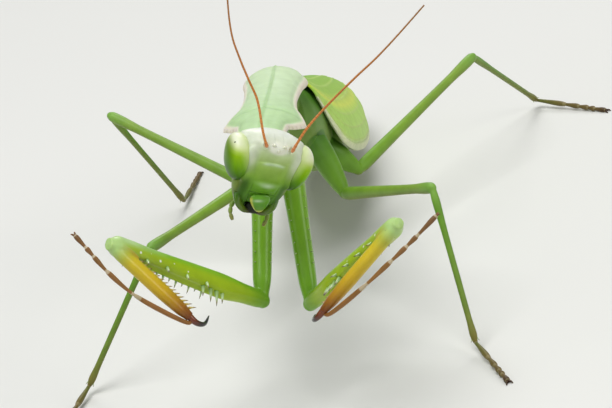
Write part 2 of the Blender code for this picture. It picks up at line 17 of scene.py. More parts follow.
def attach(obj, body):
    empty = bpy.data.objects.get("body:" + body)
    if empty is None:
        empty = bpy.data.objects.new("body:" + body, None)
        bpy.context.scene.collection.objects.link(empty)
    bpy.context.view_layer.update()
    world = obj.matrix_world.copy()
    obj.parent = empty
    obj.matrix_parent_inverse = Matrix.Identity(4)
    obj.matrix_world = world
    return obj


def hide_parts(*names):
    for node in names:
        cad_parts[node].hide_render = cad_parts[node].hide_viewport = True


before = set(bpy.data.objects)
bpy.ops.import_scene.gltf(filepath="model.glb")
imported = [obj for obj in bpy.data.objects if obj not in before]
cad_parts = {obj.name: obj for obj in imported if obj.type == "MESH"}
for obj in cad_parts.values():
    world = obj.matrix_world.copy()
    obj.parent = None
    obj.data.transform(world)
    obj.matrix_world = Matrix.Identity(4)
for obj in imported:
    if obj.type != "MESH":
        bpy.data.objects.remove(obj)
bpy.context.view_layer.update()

MM = 0.001
FLOOR_CENTRE = Vector((6.12, 30.1, 0))
SIDES = (("left", 1), ("right", -1))
UPWARD = (0, 0, 1)
TAILWARD = (0, 1, 0)

# -------- head, in its own frame: left, back, up
HEAD = Vector((0.08, -0.01, 23.98))
HEAD_UP = Vector((0.523, -0.149, 0.84))
HEAD_BACK = Vector((-0.072, 0.973, 0.218))
# height, half width, depth to the face, depth to the nape
HEAD_SECTIONS = (
    (-4.95, 0.7, 0.5, 0.55), (-4.5, 1.35, 0.78, 0.95), (-3.7, 2, 1.08, 1.25), (-2.75, 2.42, 1.42, 1.42),
    (-2, 2.62, 1.68, 1.48), (-1, 2.85, 1.8, 1.52), (0.4, 3, 1.86, 1.62), (1.8, 2.95, 1.88, 1.72),
    (2.75, 2.5, 1.58, 1.68), (3.25, 1.6, 0.95, 1.12), (3.44, 0.55, 0.3, 0.42),
)
HEAD_LOW, HEAD_HIGH = HEAD_SECTIONS[0][0], HEAD_SECTIONS[-1][0]
HEAD_VOXEL, HEAD_ROUNDS = 0.05, 60
CROWN_CENTRE = (0, 0.58, 1.32)
CROWN_RADII = (3.78, 1.66, 1.98)
FILL_CENTRE = (2.02, -1.2, 0.45)  # flesh between an eye and the face
FILL_RADII = (0.88, 0.52, 1.95)
ANTENNA_ROOT = (1.2, -1.8, 2.7)
ANTENNA_PATHS = {
    "left": ((4.5, -1.9, 27.1), (6.9, -0.7, 28.4), (10, 0.5, 29.9), (12.1, 1.4, 30.8), (14.4, 2.9, 31.8),
             (17.7, 5.6, 33.2)),
    "right": ((0.6, -2.1, 27.9), (0.8, -0.2, 30.2), (0.5, 1, 31.9), (0.2, 2.4, 33.5), (0, 4.2, 35.5),
              (0.4, 6.4, 38.1), (1.2, 8.4, 41)),
}
ANTENNA_RINGS, ANTENNA_SIDES = 640, 14
ANTENNA_RADIUS, ANTENNA_JOINT = 0.125, 0.42
SCAPE_END, PEDICEL_END = 0.62, 0.95  # the ends of a feeler's first two joints, which are stouter
OCELLI = ((0, 2.5, 0.19), (0.5, 2.92, 0.17), (-0.5, 2.92, 0.17))  # left, up, radius
OCELLUS_BACK = -1.72

# the face's flat plates: height, half width, ease, lowest, ease, highest, ease, bow of the top edge
PLATES = (
    (0.15, 1.25, 0.95, -0.5, 1.1, 1.25, 0.18, -0.1),  # forehead
    (0.06, 1.35, 0.6, -2.05, 0.16, -0.62, 0.45, 0),  # above the lip
    (-0.45, 0.95, 0.3, -9, 1, -3.55, 0.25, 0),  # mouth
)
# its round swellings: height, left, up, radius across, radius upwards
SWELLINGS = (
    (0.4, 0, -1.22, 0.98, 0.5), (0.1, 1.62, -3.05, 0.42, 0.95), (0.07, 0.62, 0.45, 0.45, 0.55),
    (0.05, 0.8, -1.6, 0.26, 0.22), (0.16, 0, 2.68, 0.75, 0.4),
)
# its grooves from side to side: depth, place, bow, width, half length, ease
CROSS_GROOVES = (
    (0.3, -0.6, -0.1, 0.12, 1.2, 0.6), (0.9, -2.1, -0.04, 0.07, 1.25, 0.3),
    (0.35, -1.78, 0.1, 0.07, 0.95, 0.4),
)
# its upright grooves: depth, place, lean, width, lowest, ease, highest, ease
UPRIGHT_GROOVES = (
    (0.15, 1.42, 0.12, 0.14, -1.8, 0.8, 1.6, 0.8), (0.7, 1.36, 0.1, 0.08, -9, 1, -1.15, 0.5),
    (0.8, 2.47, 0.14, 0.08, -9, 1, -1.6, 0.6), (0.3, 0.42, 0, 0.06, 3, 0.3, 9, 1),
    (0.3, 1.75, 0, 0.08, 3, 0.3, 9, 1),
)
GROOVE_DEPTH = 0.06

EYE_CENTRE = (2.84, 0.06, 0.27)
EYE_RADII = (1.2, 1.94, 2.2)
EYE_FULLNESS = 0.42  # how much squarer than an ellipsoid the eyes' tops are
EYE_LEAN = math.radians(11)
EYE_BED = 0.97  # size of the socket inside the eye, as a share of the eye's
EYE_BED_SHIFT = 0.1
SOCKET_DEPTH = 0.08  # how far the skin is drawn in under an eye, as a share of the eye's size
EYE_SPOTS = {"left": (-0.69, -1.33, 1.4), "right": (0.64, -0.7, 1.89)}  # in the eye's frame, x outwards
SPOT_RADIUS = 0.09

# place, half width, rise, drop
LABRUM_ROWS = (
    (0, 0.12, 0.14, 0.3), (0.1, 0.32, 0.2, 0.35), (0.4, 0.57, 0.32, 0.42), (0.85, 0.8, 0.42, 0.45),
    (1.3, 0.94, 0.36, 0.45), (1.56, 0.88, 0.24, 0.4), (1.72, 0.66, 0.12, 0.35), (1.77, 0.4, 0.06, 0.3),
)
LABRUM_LENGTH = 1.7
LABRUM_PLACE = (0.28, -1.74, -3.92)
LABRUM_TURN = 0.24
JAW_PATH = ((1.75, -0.55, -3), (1.62, -0.9, -3.7), (1.05, -1.12, -4.25), (0.35, -1.05, -4.45))
MOUTH_FLOOR = ((0, -0.75, -4.1), (0.85, 0.55, 0.62))  # centre, radii
LOWER_LIP = ((0, 0.35, -4.55), (0.95, 0.34, 0.85))
PALP_PATH = ((1.2, 0.3, -4.2), (1.7, 0.1, -4.6), (1.8, -0.4, -5.2), (1.5, -0.9, -5.75))

# -------- trunk
PRONOTUM_FRONT = Vector((0.05, 3.56, 25.32))
PRONOTUM_REAR = Vector((2.93, 29.48, 21.71))
PRONOTUM_UP = Vector((0.173, 0.109, 0.979))
PRONOTUM_LENGTH = 26.4
# place, half width, rise, drop, droop of the edges
PRONOTUM_SECTIONS = (
    (0, 1.9, 0.55, 0.3, 0.1), (1.2, 2.25, 0.9, 0.35, 0.15), (4.2, 2.45, 1.1, 0.35, 0.2),
    (5.8, 3.2, 1.15, 0.35, 0.6), (7.3, 3.95, 1.2, 0.35, 0.8), (9.4, 3.55, 1.15, 0.35, 0.5),
    (12.5, 2.85, 1.1, 0.35, 0.25), (16, 2.65, 1.1, 0.35, 0.15), (21, 2.85, 1.3, 0.35, 0.2),
    (24.8, 3.25, 1.55, 0.35, 0.3), (26.4, 2.9, 1.4, 0.3, 0.3),
)
FURROW = 8.3  # place of the shield's cross furrow
TOOTH_STEP = 0.62  # from one tooth of its rim to the next
PROTHORAX_SECTIONS = (
    (1.4, 1.3, 0.9, 1), (4, 1.9, 1.1, 1.9), (8.5, 2.2, 1.1, 2.4), (12.5, 1.7, 1.1, 1.6),
    (19, 1.55, 1.1, 1.3), (25.4, 1.8, 1.2, 1.5),
)
PROTHORAX = PRONOTUM_FRONT - PRONOTUM_UP * 1.5
NECK_ROOT = (0, 0.9, -0.2)
# by share of the length
NECK_ROWS = ((-0.1, 0.85, 0.75, 0.75), (0.5, 1, 0.85, 0.95), (1, 1.12, 0.9, 1.08))
WAIST_ROWS = ((0, 1.45, 1.1, 1.3), (1, 1.9, 1.4, 1.6))
THORAX = Vector((3.8, 31.9, 15.3))
THORAX_ALONG = Vector((0.128, 0.914, -0.386))
THORAX_UP = Vector((0.145, 0.368, 0.919))
THORAX_SECTIONS = (
    (-4.6, 1.5, 4.1, -0.6), (-3.2, 2.4, 4.2, 2), (-0.5, 3, 3.9, 3.3), (3, 3.1, 3.6, 3.6),
    (5.9, 2.9, 3.2, 3.2),
)
NOTUM_RADII = (3.2, 5.6, 2.75)
ABDOMEN = THORAX + THORAX_ALONG * 6.3 - THORAX_UP * 1.25
ABDOMEN_ALONG = Vector((0.11, 0.952, -0.286))
ABDOMEN_UP = Vector((0.15, 0.27, 0.951))
ABDOMEN_SECTIONS = (
    (0, 2.7, 2.5, 3), (5, 3.5, 2.6, 3.6), (12, 3.9, 2.7, 3.8), (19, 3.8, 2.5, 3.5),
    (26, 3.1, 2, 2.7), (31, 2.1, 1.4, 1.8), (34, 0.8, 0.7, 0.8),
)
ABDOMEN_LENGTH = 34
ABDOMEN_RINGS, RING_STEPS = 9, 20
LINK_ROWS = ((0, 2.6, 2.3, 2.8), (1, 2.5, 2.3, 2.7))
CERCUS_PATH = ((0.9, 31, 0.2), (2.3, 33.2, 0.3), (3, 35.95, 0.5))
CERCUS_JOINTS = 11
# how near the axes of the trunk, the grasping legs and the walking legs the skin counts as theirs
TRUNK_GIRTH, FORE_GIRTH, WALK_GIRTH = 2, 0.9, 0.7

# -------- wings
WING_ALONG = Vector((0.11, 0.945, -0.305))
WING_UP = Vector((0.15, 0.295, 0.944))
# place, height of the crown, reach of the top, outer margin across and up
TEGMEN_SECTIONS = (
    (-2.5, 4.95, 2.6, 2.5, 3), (0.5, 5, 3.9, 3.6, -0.3), (4, 4.8, 4.9, 4.6, -2.6),
    (8, 4.5, 5.4, 5.1, -3.3), (14, 4.2, 5.7, 5.4, -3.4), (22, 4, 5.6, 5.3, -3),
    (30, 3.75, 4.9, 4.5, -1.6), (37, 3.35, 3.5, 3.1, 0.4), (41.5, 2.8, 1.8, 1.2, 1.9),
)
TEGMEN_ROWS, TEGMEN_COLUMNS = 300, 72
TEGMEN_OVERLAP = 0.9
OVERLAP_ENDS = (-4, 42.5)
OVERLAP_EASE = 8
LIFT_SHARE = 0.85
TEGMEN_LIFT = 0.52  # how far the left forewing lies above the right one
LIFT_AT_FRONT = 0.95  # the part of that lift left at the wing's root
LIFT_EASE = 11
TEGMEN_THICK = 0.34
VEIN_RISE = 0.07
TEGMEN_SPAN = (-2.4, 41.4)
TIP_START = 37.6  # where the forewing starts to round off
TIP_MIDDLE = 0.42  # the part of its width that its point lies at
VEINS = ((0.18, 0.1), (0.34, 0.22), (0.5, 0.42), (0.64, 0.6), (0.76, 0.76), (0.88, 0.9))  # at root, tip
NET_CELLS = ((22, 46), (-14, 60))  # cells of the fine net across and along, in its two directions
FAN_ROWS, FAN_COLUMNS, FAN_PLEATS = 80, 24, 4
HINDWING_SPAN = (8, 40.5)
HINDWING_TAPER = (42, 12)  # where its width would run out, and over what length it narrows
HINDWING_DROP = 1.3
HINDWING_BEND = 0.28
HINDWING_START, HINDWING_WIDTH = 0.56, 1.45
HINDWING_HALF, PLEAT_RISE = 0.12, 0.06

# -------- grasping legs: hip, hinge, knee, tibia's end
FORE = {
    "left": ((2.37, 9.6, 21.3), (0.91, 0.78, 9.35), (9.98, -9.49, 18.86), (1.84, -8.32, 12.16)),
    "right": ((-0.15, 9.6, 21.3), (-3.41, 0.36, 11.04), (-14.79, -7.22, 22.78), (-9.81, -8.37, 14.81)),
}
FORE_TARSUS = {
    "left": ((2.9, -9.7, 12), (5.7, -11.2, 14.6), (8.5, -12, 16.6), (11, -11.9, 18.1),
             (13.6, -11.5, 19.7)),
    "right": ((-10.7, -9.2, 14.5), (-13.7, -9.5, 18.3), (-15.6, -9.7, 21.3), (-16.8, -9.2, 23.6),
              (-17.7, -8.4, 25.1)),
}
# share of the length, half thickness, rise to the back edge, drop to the toothed edge
FORE_COXA_SECTIONS = (
    (-0.07, 0.35, 0.4, 0.4), (0.02, 0.95, 1, 1), (0.15, 1.12, 1.22, 1.22), (0.5, 0.96, 1.1, 1.05),
    (0.85, 0.86, 0.98, 0.92), (1, 0.62, 0.68, 0.68),
)
FORE_FEMUR_SECTIONS = (
    (-0.03, 0.4, 0.5, 0.5), (0.02, 0.74, 0.84, 0.84), (0.07, 0.78, 0.88, 0.94), (0.13, 0.8, 0.92, 1.02),
    (0.3, 0.92, 1.16, 1.46), (0.5, 0.9, 1.1, 1.32), (0.75, 0.82, 1.05, 1.02), (0.9, 0.88, 1.16, 0.9),
    (0.97, 0.88, 1.15, 0.88), (1.03, 0.5, 0.66, 0.5),
)
FORE_TIBIA_SECTIONS = (
    (-0.03, 0.2, 0.25, 0.25), (0.02, 0.5, 0.62, 0.6), (0.12, 0.62, 0.82, 0.76), (0.6, 0.62, 0.84, 0.78),
    (0.88, 0.52, 0.72, 0.66), (1, 0.38, 0.5, 0.46),
)
TROUGH_DEPTH = 0.32  # of the furrow in the femur that the tibia folds into
HINGE_RADII, KNEE_RADII = (0.72, 0.78, 0.8), (0.52, 0.6, 0.62)
CLAW_DROP = 2.25
FORE_FOOT_RADIUS, FOOT_RADIUS = 0.235, 0.3
# pale dots on the femur's sides: share of its length, height, radius
PEARLS = (
    (0.55, -0.62, 0.09), (0.64, -0.3, 0.1), (0.73, -0.52, 0.12), (0.79, -0.12, 0.09), (0.86, -0.38, 0.13),
)
PEARL_SIDE, PEARL_COLOUR = 0.74, (0.82, 0.86, 0.76)
# rows of spines: across, height, lean sideways, lean ahead, radius, bend, places (share of the length, size)
FEMUR_SPINES = (
    (0.2, -1.05, 0.1, 0.25, 0.2, 0.15, ((0.3, 1.65), (0.34, 2.3), (0.38, 2), (0.43, 1.55))),
    (0.5, -0.78, 0.45, 0.25, 0.18, 0.12, [(0.42 + 0.13 * k, 1.35 - 0.12 * k) for k in range(4)]),
    (-0.48, -0.8, -0.3, 0.25, 0.14, 0.08,
     [(0.4 + 0.043 * k, (1.15, 0.62)[k % 2] * (1 - 0.035 * k)) for k in range(13)]),
    (-0.45, -0.3, -0.15, 0.6, 0.13, 0, ((0.955, 0.62),)),
    (0.45, -0.3, 0.15, 0.6, 0.13, 0, ((0.955, 0.62),)),
)
COXA_THORNS = tuple(
    (0.7 * flank, -0.72, 0.55 * flank, 0.3, 0.08, 0,
     [(0.18 + 0.072 * k, 0.3 + 0.1 * (k % 2)) for k in range(9)])
    for flank in (-1, 1)
)
TIBIA_TEETH = tuple(
    (0.26 * flank, -0.56, 0.3 * flank, 0.75, 0.13, 0.08,
     [(share, 0.44 + 0.36 * share) for share in np.linspace(0.14, 0.94, count)])
    for flank, count in ((-1, 17), (1, 15))
)
SPURS = tuple((0.2 * flank, 0, 2.25 * flank, 5, 0.09, 0, ((0.965, 0.55),)) for flank in (-1, 1))

# -------- walking legs: hip, knee, ankle, toe
WALK = {
    "mid_left": ((6.8, 25.1, 9.7), (14.8, 10.5, 13.7), (15, 1.7, 0.9), (16.8, -7.4, 0.1)),
    "mid_right": ((-1.7, 27.8, 12.5), (-13, 15.2, 13), (-22.3, 14.3, 0.9), (-25.8, 6.2, 0.1)),
    "hind_left": ((8.9, 34.7, 8.2), (24, 48.3, 12.4), (30.9, 61.5, 0.9), (38.1, 54.3, 0.1)),
    "hind_right": ((-1.3, 35.5, 8.2), (-15.2, 48.4, 16), (-10.4, 58.1, 0.9), (-8, 68.3, 0.1)),
}
COXA_ROOT = {"mid": (1.9, -2.2, -1.6), "hind": (1.9, 4.3, -1.9)}
# share of the length, radius
WALK_COXA_RADII = ((0, 1.3), (0.35, 1.25), (0.8, 0.88), (1.02, 0.58))
WALK_FEMUR_RADII = (
    (-0.02, 0.3), (0.01, 0.55), (0.05, 0.68), (0.12, 0.66), (0.35, 0.58), (0.8, 0.48), (0.94, 0.57),
    (0.99, 0.54), (1.015, 0.3),
)
WALK_TIBIA_RADII = (
    (-0.01, 0.2), (0.02, 0.34), (0.08, 0.4), (0.3, 0.32), (0.85, 0.3), (0.95, 0.37), (1, 0.24),
)
HIP_BALL, KNEE_BALL = 0.56, 0.42
TARSUS_SHARES = (0.42, 0.2, 0.13, 0.09, 0.16)
TARSUS_REACH = 0.925  # the claws take up the rest of a foot's length

VOXEL = 0.085  # size of the cells the skins are drawn with
EASE_ROUNDS = 5


# ======== numbers
def smooth_rows(table, places):
    """Rows of a table at some places in its first column, on curves that don't overshoot its rows."""
    table = np.array(table, dtype=float)
    steps = np.diff(table[:, :1], axis=0)
    rises = np.diff(table, axis=0) / steps
    before, after = rises[:-1], rises[1:]
    same_way = before * after > 0
    slopes = np.zeros_like(table)
    slopes[0] = rises[0]
    slopes[1:-1] = np.where(same_way, 2 * before * after / np.where(same_way, before + after, 1), 0)
    at = np.clip(places, table[0, 0], table[-1, 0])
    i = np.clip(np.searchsorted(table[:, 0], at, "right") - 1, 0, len(table) - 2)
    t = (at - table[i, 0])[:, None] / steps[i]
    rows = table[i] * (2 * t**3 - 3 * t**2 + 1) + table[i + 1] * (3 * t**2 - 2 * t**3)
    rows += steps[i] * ((t**3 - 2 * t**2 + t) * slopes[i] + (t**3 - t**2) * slopes[i + 1])
    rows[:, 0] = at
    return rows


def columns_of(rows):
    return (column[:, None] for column in np.array(rows).T)


def step_up(value, edge, width):
    """0 below the edge and 1 above it, easing over the width."""
    t = np.clip((value - edge) / width + 0.5, 0, 1)
    return t * t * (3 - 2 * t)


def step_down(value, edge, width):
    """1 below the edge and 0 above it, easing over the width."""
    return step_up(edge - value, 0, width)


def band(value, lowest, low_ease, highest, high_ease):
    """1 between two edges and 0 outside them."""
    return step_up(value, lowest, low_ease) * step_down(value, highest, high_ease)


def hill(u, v, u0, v0, ru, rv):
    """A smooth bump that is 1 at (u0, v0)."""
    return np.exp(-(((u - u0) / ru) ** 2) - ((v - v0) / rv) ** 2)


def line(value, at, width):
    """A smooth ridge that is 1 where the value is at its place."""
    return np.exp(-(((value - at) / width) ** 2))


def placed(at, *columns):
    """A frame at a point, from its three axes."""
    made = Matrix(columns).transposed().to_4x4()
    made.translation = at
    return made


def axes(at, along, up):
    """A frame at a point, in millimetres, with +Y along a direction and +Z as near to up as it can be."""
    y = Vector(along).normalized()
    z = (Vector(up) - Vector(up).project(y)).normalized()
    return placed(at, y.cross(z), y, z)


def given(thing, **values):
    """A thing with some of its properties set."""
    for key, value in values.items():
        setattr(thing, key, value)
    return thing


def moved(points, matrix):
    """An array of points through a matrix."""
    turn = np.array(matrix.to_3x3())
    return points @ turn.T + np.array(matrix.translation)


def mirrored(place, sign):
    """A place given for the left side, on the left (1) or the right (-1)."""
    return sign * place[0], place[1], place[2]


def curve_points(knots, count):
    """Points at even steps of a smooth curve through a few knots."""
    knots = [Vector(k) for k in knots]
    padded = [2 * knots[0] - knots[1], *knots, 2 * knots[-1] - knots[-2]]
    points = []
    for k in range(count):
        t = (len(knots) - 1) * k / (count - 1)
        i = min(int(t), len(knots) - 2)
        t -= i
        a, b, c, d = padded[i:i + 4]
        square, cube = 2 * a - 5 * b + 4 * c - d, 3 * b - a - 3 * c + d
        points.append(0.5 * (2 * b + (c - a) * t + square * t**2 + cube * t**3))
    return points


def along_limbs(points, limbs):
    """For each point: its nearest limb's number plus the share of its length, the way out, the distance."""
    start, end = np.array(limbs, dtype=float).transpose(1, 0, 2)[:, :, None]
    way = end - start
    share = np.clip(((points - start) * way).sum(axis=2) / (way * way).sum(axis=2), 0, 1)
    off = points - (start + share[..., None] * way)
    distance = np.linalg.norm(off, axis=2)
    nearest = distance.argmin(axis=0), np.arange(len(points))
    best = distance[nearest]
    return nearest[0] + share[nearest], off[nearest] / np.maximum(best, 1e-6)[:, None], best


# ======== meshes
def paint(mesh, **painted):
    """Stores a number for each vertex under each name, for the materials to read."""
    for name, values in painted.items():
        layer = mesh.attributes.new(name, "FLOAT", "POINT")
        values = np.broadcast_to(np.ravel(values), len(mesh.vertices))
        layer.data.foreach_set("value", np.ascontiguousarray(values, dtype=np.float32))


def filled(bm, at, painted, mesh=None):
    """Puts edited geometry in a mesh, paints it and moves it to its place."""
    mesh = mesh or bpy.data.meshes.new("shape")
    bm.to_mesh(mesh)
    bm.free()
    paint(mesh, **painted)
    if at:
        mesh.transform(at)
    return mesh


def grid_mesh(grid, at, shell=False, **painted):
    """A closed mesh from rows of rings; a shell's rings are thin, so their ends are closed by strips."""
    rows, columns = grid.shape[:2]
    last = (rows - 1) * columns
    faces = []
    for r in range(rows - 1):
        for c in range(columns):
            d = (c + 1) % columns
            faces.append((r * columns + c, r * columns + d, (r + 1) * columns + d, (r + 1) * columns + c))
    caps = [tuple(range(columns))]
    if shell:
        caps = [(c, c + 1, columns - 2 - c, columns - 1 - c) for c in range(columns // 2 - 1)]
    for cap in caps:
        faces.append(cap)
        faces.append(tuple(last + corner for corner in cap))
    mesh = bpy.data.meshes.new("shape")
    mesh.from_pydata(grid.reshape(-1, 3).tolist(), [], faces)
    bm = bmesh.new()
    bm.from_mesh(mesh)
    bmesh.ops.recalc_face_normals(bm, faces=bm.faces)
    return filled(bm, at, painted, mesh)


def ring_grid(rows, sides, power):
    """Rings round +Y from rows of (place, half width, rise, drop) and perhaps a droop of the edges."""
    turn = np.arange(sides) * math.tau / sides
    c, s = np.cos(turn), np.sin(turn)
    x_unit = np.sign(c) * np.abs(c) ** (2 / power)
    z_unit = np.sign(s) * np.abs(s) ** (2 / power)
    y, half, rise, drop, *droop = columns_of(rows)
    z = z_unit * np.where(s > 0, rise, drop) - (droop[0] if droop else 0) * x_unit**2
    return np.stack(np.broadcast_arrays(half * x_unit, y, z), axis=2)


def table_grid(table, count, sides, power=2, scale=1):
    """Rings from a table, read at even steps along it; scale turns shares of a length to millimetres."""
    rows = smooth_rows(table, np.linspace(table[0][0], table[-1][0], count))
    rows[:, 0] *= scale
    return ring_grid(rows, sides, power)


def limb_mesh(table, start, end, up, count, sides, power=2):
    """A closed shape from one point to another, from a table by share of the length."""
    start, end = Vector(start), Vector(end)
    grid = table_grid(table, count, sides, power, (end - start).length)
    return grid_mesh(grid, axes(start, end - start, up))


def tube_mesh(points, radii, sides, flat=1, tones=(0, 1), at=None, **painted):
    """A tube along a path, painted ring by ring; flat squeezes it along its second axis."""
    count = len(points)
    grid = np.zeros((count, sides, 3))
    side = None
    for k, point in enumerate(points):
        ahead = (points[min(k + 1, count - 1)] - points[max(k - 1, 0)]).normalized()
        side = ahead.orthogonal().normalized() if side is None else (side - side.project(ahead)).normalized()
        other = ahead.cross(side)
        for m in range(sides):
            turn = math.tau * m / sides
            grid[k, m] = point + float(radii[k]) * (math.cos(turn) * side + math.sin(turn) * other * flat)
    painted = {"tone": np.linspace(*tones, count), **painted}
    return grid_mesh(grid, at, **{key: np.repeat(values, sides) for key, values in painted.items()})


def sphere_mesh(radii, around=96, rings=64, at=None, **painted):
    bm = bmesh.new()
    bmesh.ops.create_uvsphere(bm, u_segments=around, v_segments=rings, radius=1)
    bmesh.ops.transform(bm, matrix=Matrix.Diagonal((*radii, 1)), verts=bm.verts)
    return filled(bm, at, painted)


def joined(meshes, at=None):
    bm = bmesh.new()
    for mesh in meshes:
        bm.from_mesh(mesh)
        bpy.data.meshes.remove(mesh)
    return filled(bm, at, {})


def added(name, data):
    """A new object in the scene."""
    made = bpy.data.objects.new(name, data)
    bpy.context.scene.collection.objects.link(made)
    return made


def fused(meshes, voxel=VOXEL, rounds=EASE_ROUNDS):
    """One continuous skin over closed shapes that overlap."""
    carrier = added("carrier", joined(meshes))
    given(carrier.modifiers.new("remesh", "REMESH"), mode="VOXEL", voxel_size=voxel)
    given(carrier.modifiers.new("ease", "SMOOTH"), factor=0.5, iterations=rounds)
    shape = carrier.evaluated_get(bpy.context.evaluated_depsgraph_get())
    made = bpy.data.meshes.new_from_object(shape)
    bpy.data.objects.remove(carrier)
    return made


def numbers_of(data, what, size=1, kind=float):
    flat = np.zeros(len(data) * size, dtype=kind)
    data.foreach_get(what, flat)
    return flat.reshape(-1, size)


def points_of(mesh):
    return numbers_of(mesh.vertices, "co", 3)


def set_points(mesh, points):
    mesh.vertices.foreach_set("co", np.ascontiguousarray(points, dtype=float).reshape(-1))
    mesh.update()


def set_piece(name, mesh, material, slot, *nodes):
    """Moves a mesh to the row frame and makes it a piece of the animal, which stands for some solids."""
    mesh.name = name
    mesh.transform(Matrix.Scale(MM, 4) @ Matrix.Translation(-FLOOR_CENTRE))
    if material:
        mesh.materials.clear()
        mesh.materials.append(material)
    mesh.shade_smooth()
    piece = added(name, mesh)
    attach(piece, "root")
    if nodes:
        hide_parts(*nodes)


def set_materials(mesh, materials, region):
    """Gives each face the material of the region that its first corner lies in."""
    for material in materials:
        mesh.materials.append(material)
    starts = numbers_of(mesh.polygons, "loop_start", kind=np.int32)
    corners = numbers_of(mesh.loops, "vertex_index", kind=np.int32)
    mesh.polygons.foreach_set("material_index", region[corners[starts].ravel()].astype(np.int32))


# ======== materials
PATCH_MM = 1.3  # size of the mottling
PATCH_STOPS = ((0.32, 0.62, 0.66, 0.55), (0.68, 1, 1, 1))
COAT_ROUGHNESS = 0.12
GLOW_REACH = (0.9, 1, 0.4)  # how far red, green and blue light spread under the surface
GLOW_MM = 0.5
SPOT_EDGES = (0.6, 1.3)  # a spot fades between these shares of its radius


def put(tree, made, inputs):
    """Fills the inputs of a shader node with values, or links them to other nodes' outputs."""
    for key, value in inputs.items():
        if isinstance(value, bpy.types.NodeSocket):
            tree.links.new(value, made.inputs[key])
        else:
            made.inputs[key].default_value = value


def node(tree, kind, inputs, output=0, **settings):
    """An output of a new shader node."""
    made = given(tree.nodes.new("ShaderNode" + kind), **settings)
    put(tree, made, inputs)
    return made.outputs[output]


def ramp(tree, share, stops):
    made = tree.nodes.new("ShaderNodeValToRGB")
    put(tree, made, {"Fac": share})
    elements = made.color_ramp.elements
    for element, (at, *colour) in zip(elements, (stops[0], stops[-1])):
        element.position = at
        element.color = (*colour, 1)
    for at, *colour in stops[1:-1]:
        elements.new(at).color = (*colour, 1)
    return made.outputs["Color"]


def mixed(tree, below, above, share, kind="MIX"):
    return node(tree, "Mix", {0: share, 6: below, 7: above}, 2, data_type="RGBA", blend_type=kind)


def finish(name, stops, tints=(), spots=(), roughness=0.4, coat=0, specular=0.28, subsurface=0.15,
           mottle=0.3, grain=0.35, grain_mm=0.35, bump_mm=0.02, cells=0, cells_mm=0.1):
    """Chitin: a colour ramp read by the painted tone, tints by other painted numbers, mottling, fine grain.

    stops: (place, *colour); tints: (painted name, colour, most); spots: (point in mm, radius, colour).
    """
    material = given(bpy.data.materials.new(name), use_nodes=True)
    tree = material.node_tree
    place = node(tree, "TexCoord", {}, "Object")

    def painted(key):
        return node(tree, "Attribute", {}, "Fac", attribute_name=key)

    def noise(size, detail):
        inputs = {"Vector": place, "Scale": 1 / (size * MM), "Detail": detail}
        return node(tree, "TexNoise", inputs, "Fac")

    colour = ramp(tree, painted("tone"), stops)
    for key, tint, most in tints:
        share = node(tree, "Math", {0: painted(key), 1: most}, operation="MULTIPLY")
        colour = mixed(tree, colour, (*tint, 1), share)
    colour = mixed(tree, colour, ramp(tree, noise(PATCH_MM, 5), PATCH_STOPS), mottle, "MULTIPLY")
    for point, radius, tint in spots:
        centre = (Vector(point) - FLOOR_CENTRE) * MM
        away = node(tree, "VectorMath", {0: place, 1: centre}, "Value", operation="DISTANCE")
        start, end = (radius * share * MM for share in SPOT_EDGES)
        near = node(tree, "MapRange",
                    {"Value": away, "From Min": start, "From Max": end, "To Min": 1, "To Max": 0},
                    "Result", interpolation_type="SMOOTHSTEP")
        colour = mixed(tree, colour, (*tint, 1), near)
    height = noise(grain_mm, 3)
    if cells:
        facets = node(tree, "TexVoronoi", {"Vector": place, "Scale": 1 / (cells_mm * MM)}, "Distance")
        height = node(tree, "Math", {0: facets, 1: -cells, 2: height}, operation="MULTIPLY_ADD")
    relief = node(tree, "Bump", {"Strength": grain, "Distance": bump_mm * MM, "Height": height}, "Normal")
    put(tree, tree.nodes["Principled BSDF"], {
        "Base Color": colour, "Roughness": roughness, "Specular IOR Level": specular, "Coat Weight": coat,
        "Coat Roughness": COAT_ROUGHNESS, "Subsurface Weight": subsurface, "Subsurface Radius": GLOW_REACH,
        "Subsurface Scale": GLOW_MM * MM, "Normal": relief,
    })
    return material


# ======== head
HEAD_FRAME = axes(HEAD, HEAD_UP, -HEAD_BACK)  # local x left, y up the head, z to the face
# by height on the head, darker to the mouth and paler to the crown: partly its own colour, partly painted
# skylight on the crown and painted shade low on the face
HEAD_STOPS = (
    (0, 0.035, 0.105, 0.004), (0.12, 0.06, 0.18, 0.005), (0.3, 0.115, 0.32, 0.008),
    (0.43, 0.165, 0.405, 0.015), (0.55, 0.25, 0.46, 0.04), (0.66, 0.32, 0.52, 0.08), (0.75, 0.43, 0.6, 0.19),
    (0.84, 0.58, 0.72, 0.36), (0.91, 0.72, 0.8, 0.58), (1, 0.85, 0.89, 0.8),
)
HEAD_TINTS = (
    # the dark tint is painted shade on the cheeks
    ("pale", (0.74, 0.79, 0.66), 0.75), ("dark", (0.025, 0.09, 0.002), 0.75),
    # the pale green-white tint on the forehead ridge and the dome above the lip is a painted highlight
    ("cream", (0.92, 0.93, 0.82), 0.9), ("polish", (0.6, 0.74, 0.56), 0.6),
    # the groove tint is painted shade in the grooves and on the sunken mouth
    ("groove", (0.03, 0.1, 0.005), 0.4), ("rim", (0.3, 0.36, 0.04), 0.55),
)
# by height on the eye: partly its own colour, partly painted shade below and a painted reflection of the sky
# on top
EYE_STOPS = (
    (0, 0.02, 0.065, 0.001), (0.14, 0.035, 0.11, 0.001), (0.34, 0.1, 0.27, 0.001), (0.55, 0.21, 0.45, 0.001),
    (0.72, 0.3, 0.54, 0.004), (0.8, 0.44, 0.63, 0.08), (0.88, 0.7, 0.78, 0.4), (0.94, 0.8, 0.84, 0.6),
    (1, 0.82, 0.85, 0.68),
)


def head_point(left, back, up):
    return HEAD_FRAME @ Vector((left, up, -back))


def head_axes(left, back, up):
    return axes(head_point(left, back, up), HEAD_BACK, HEAD_UP)


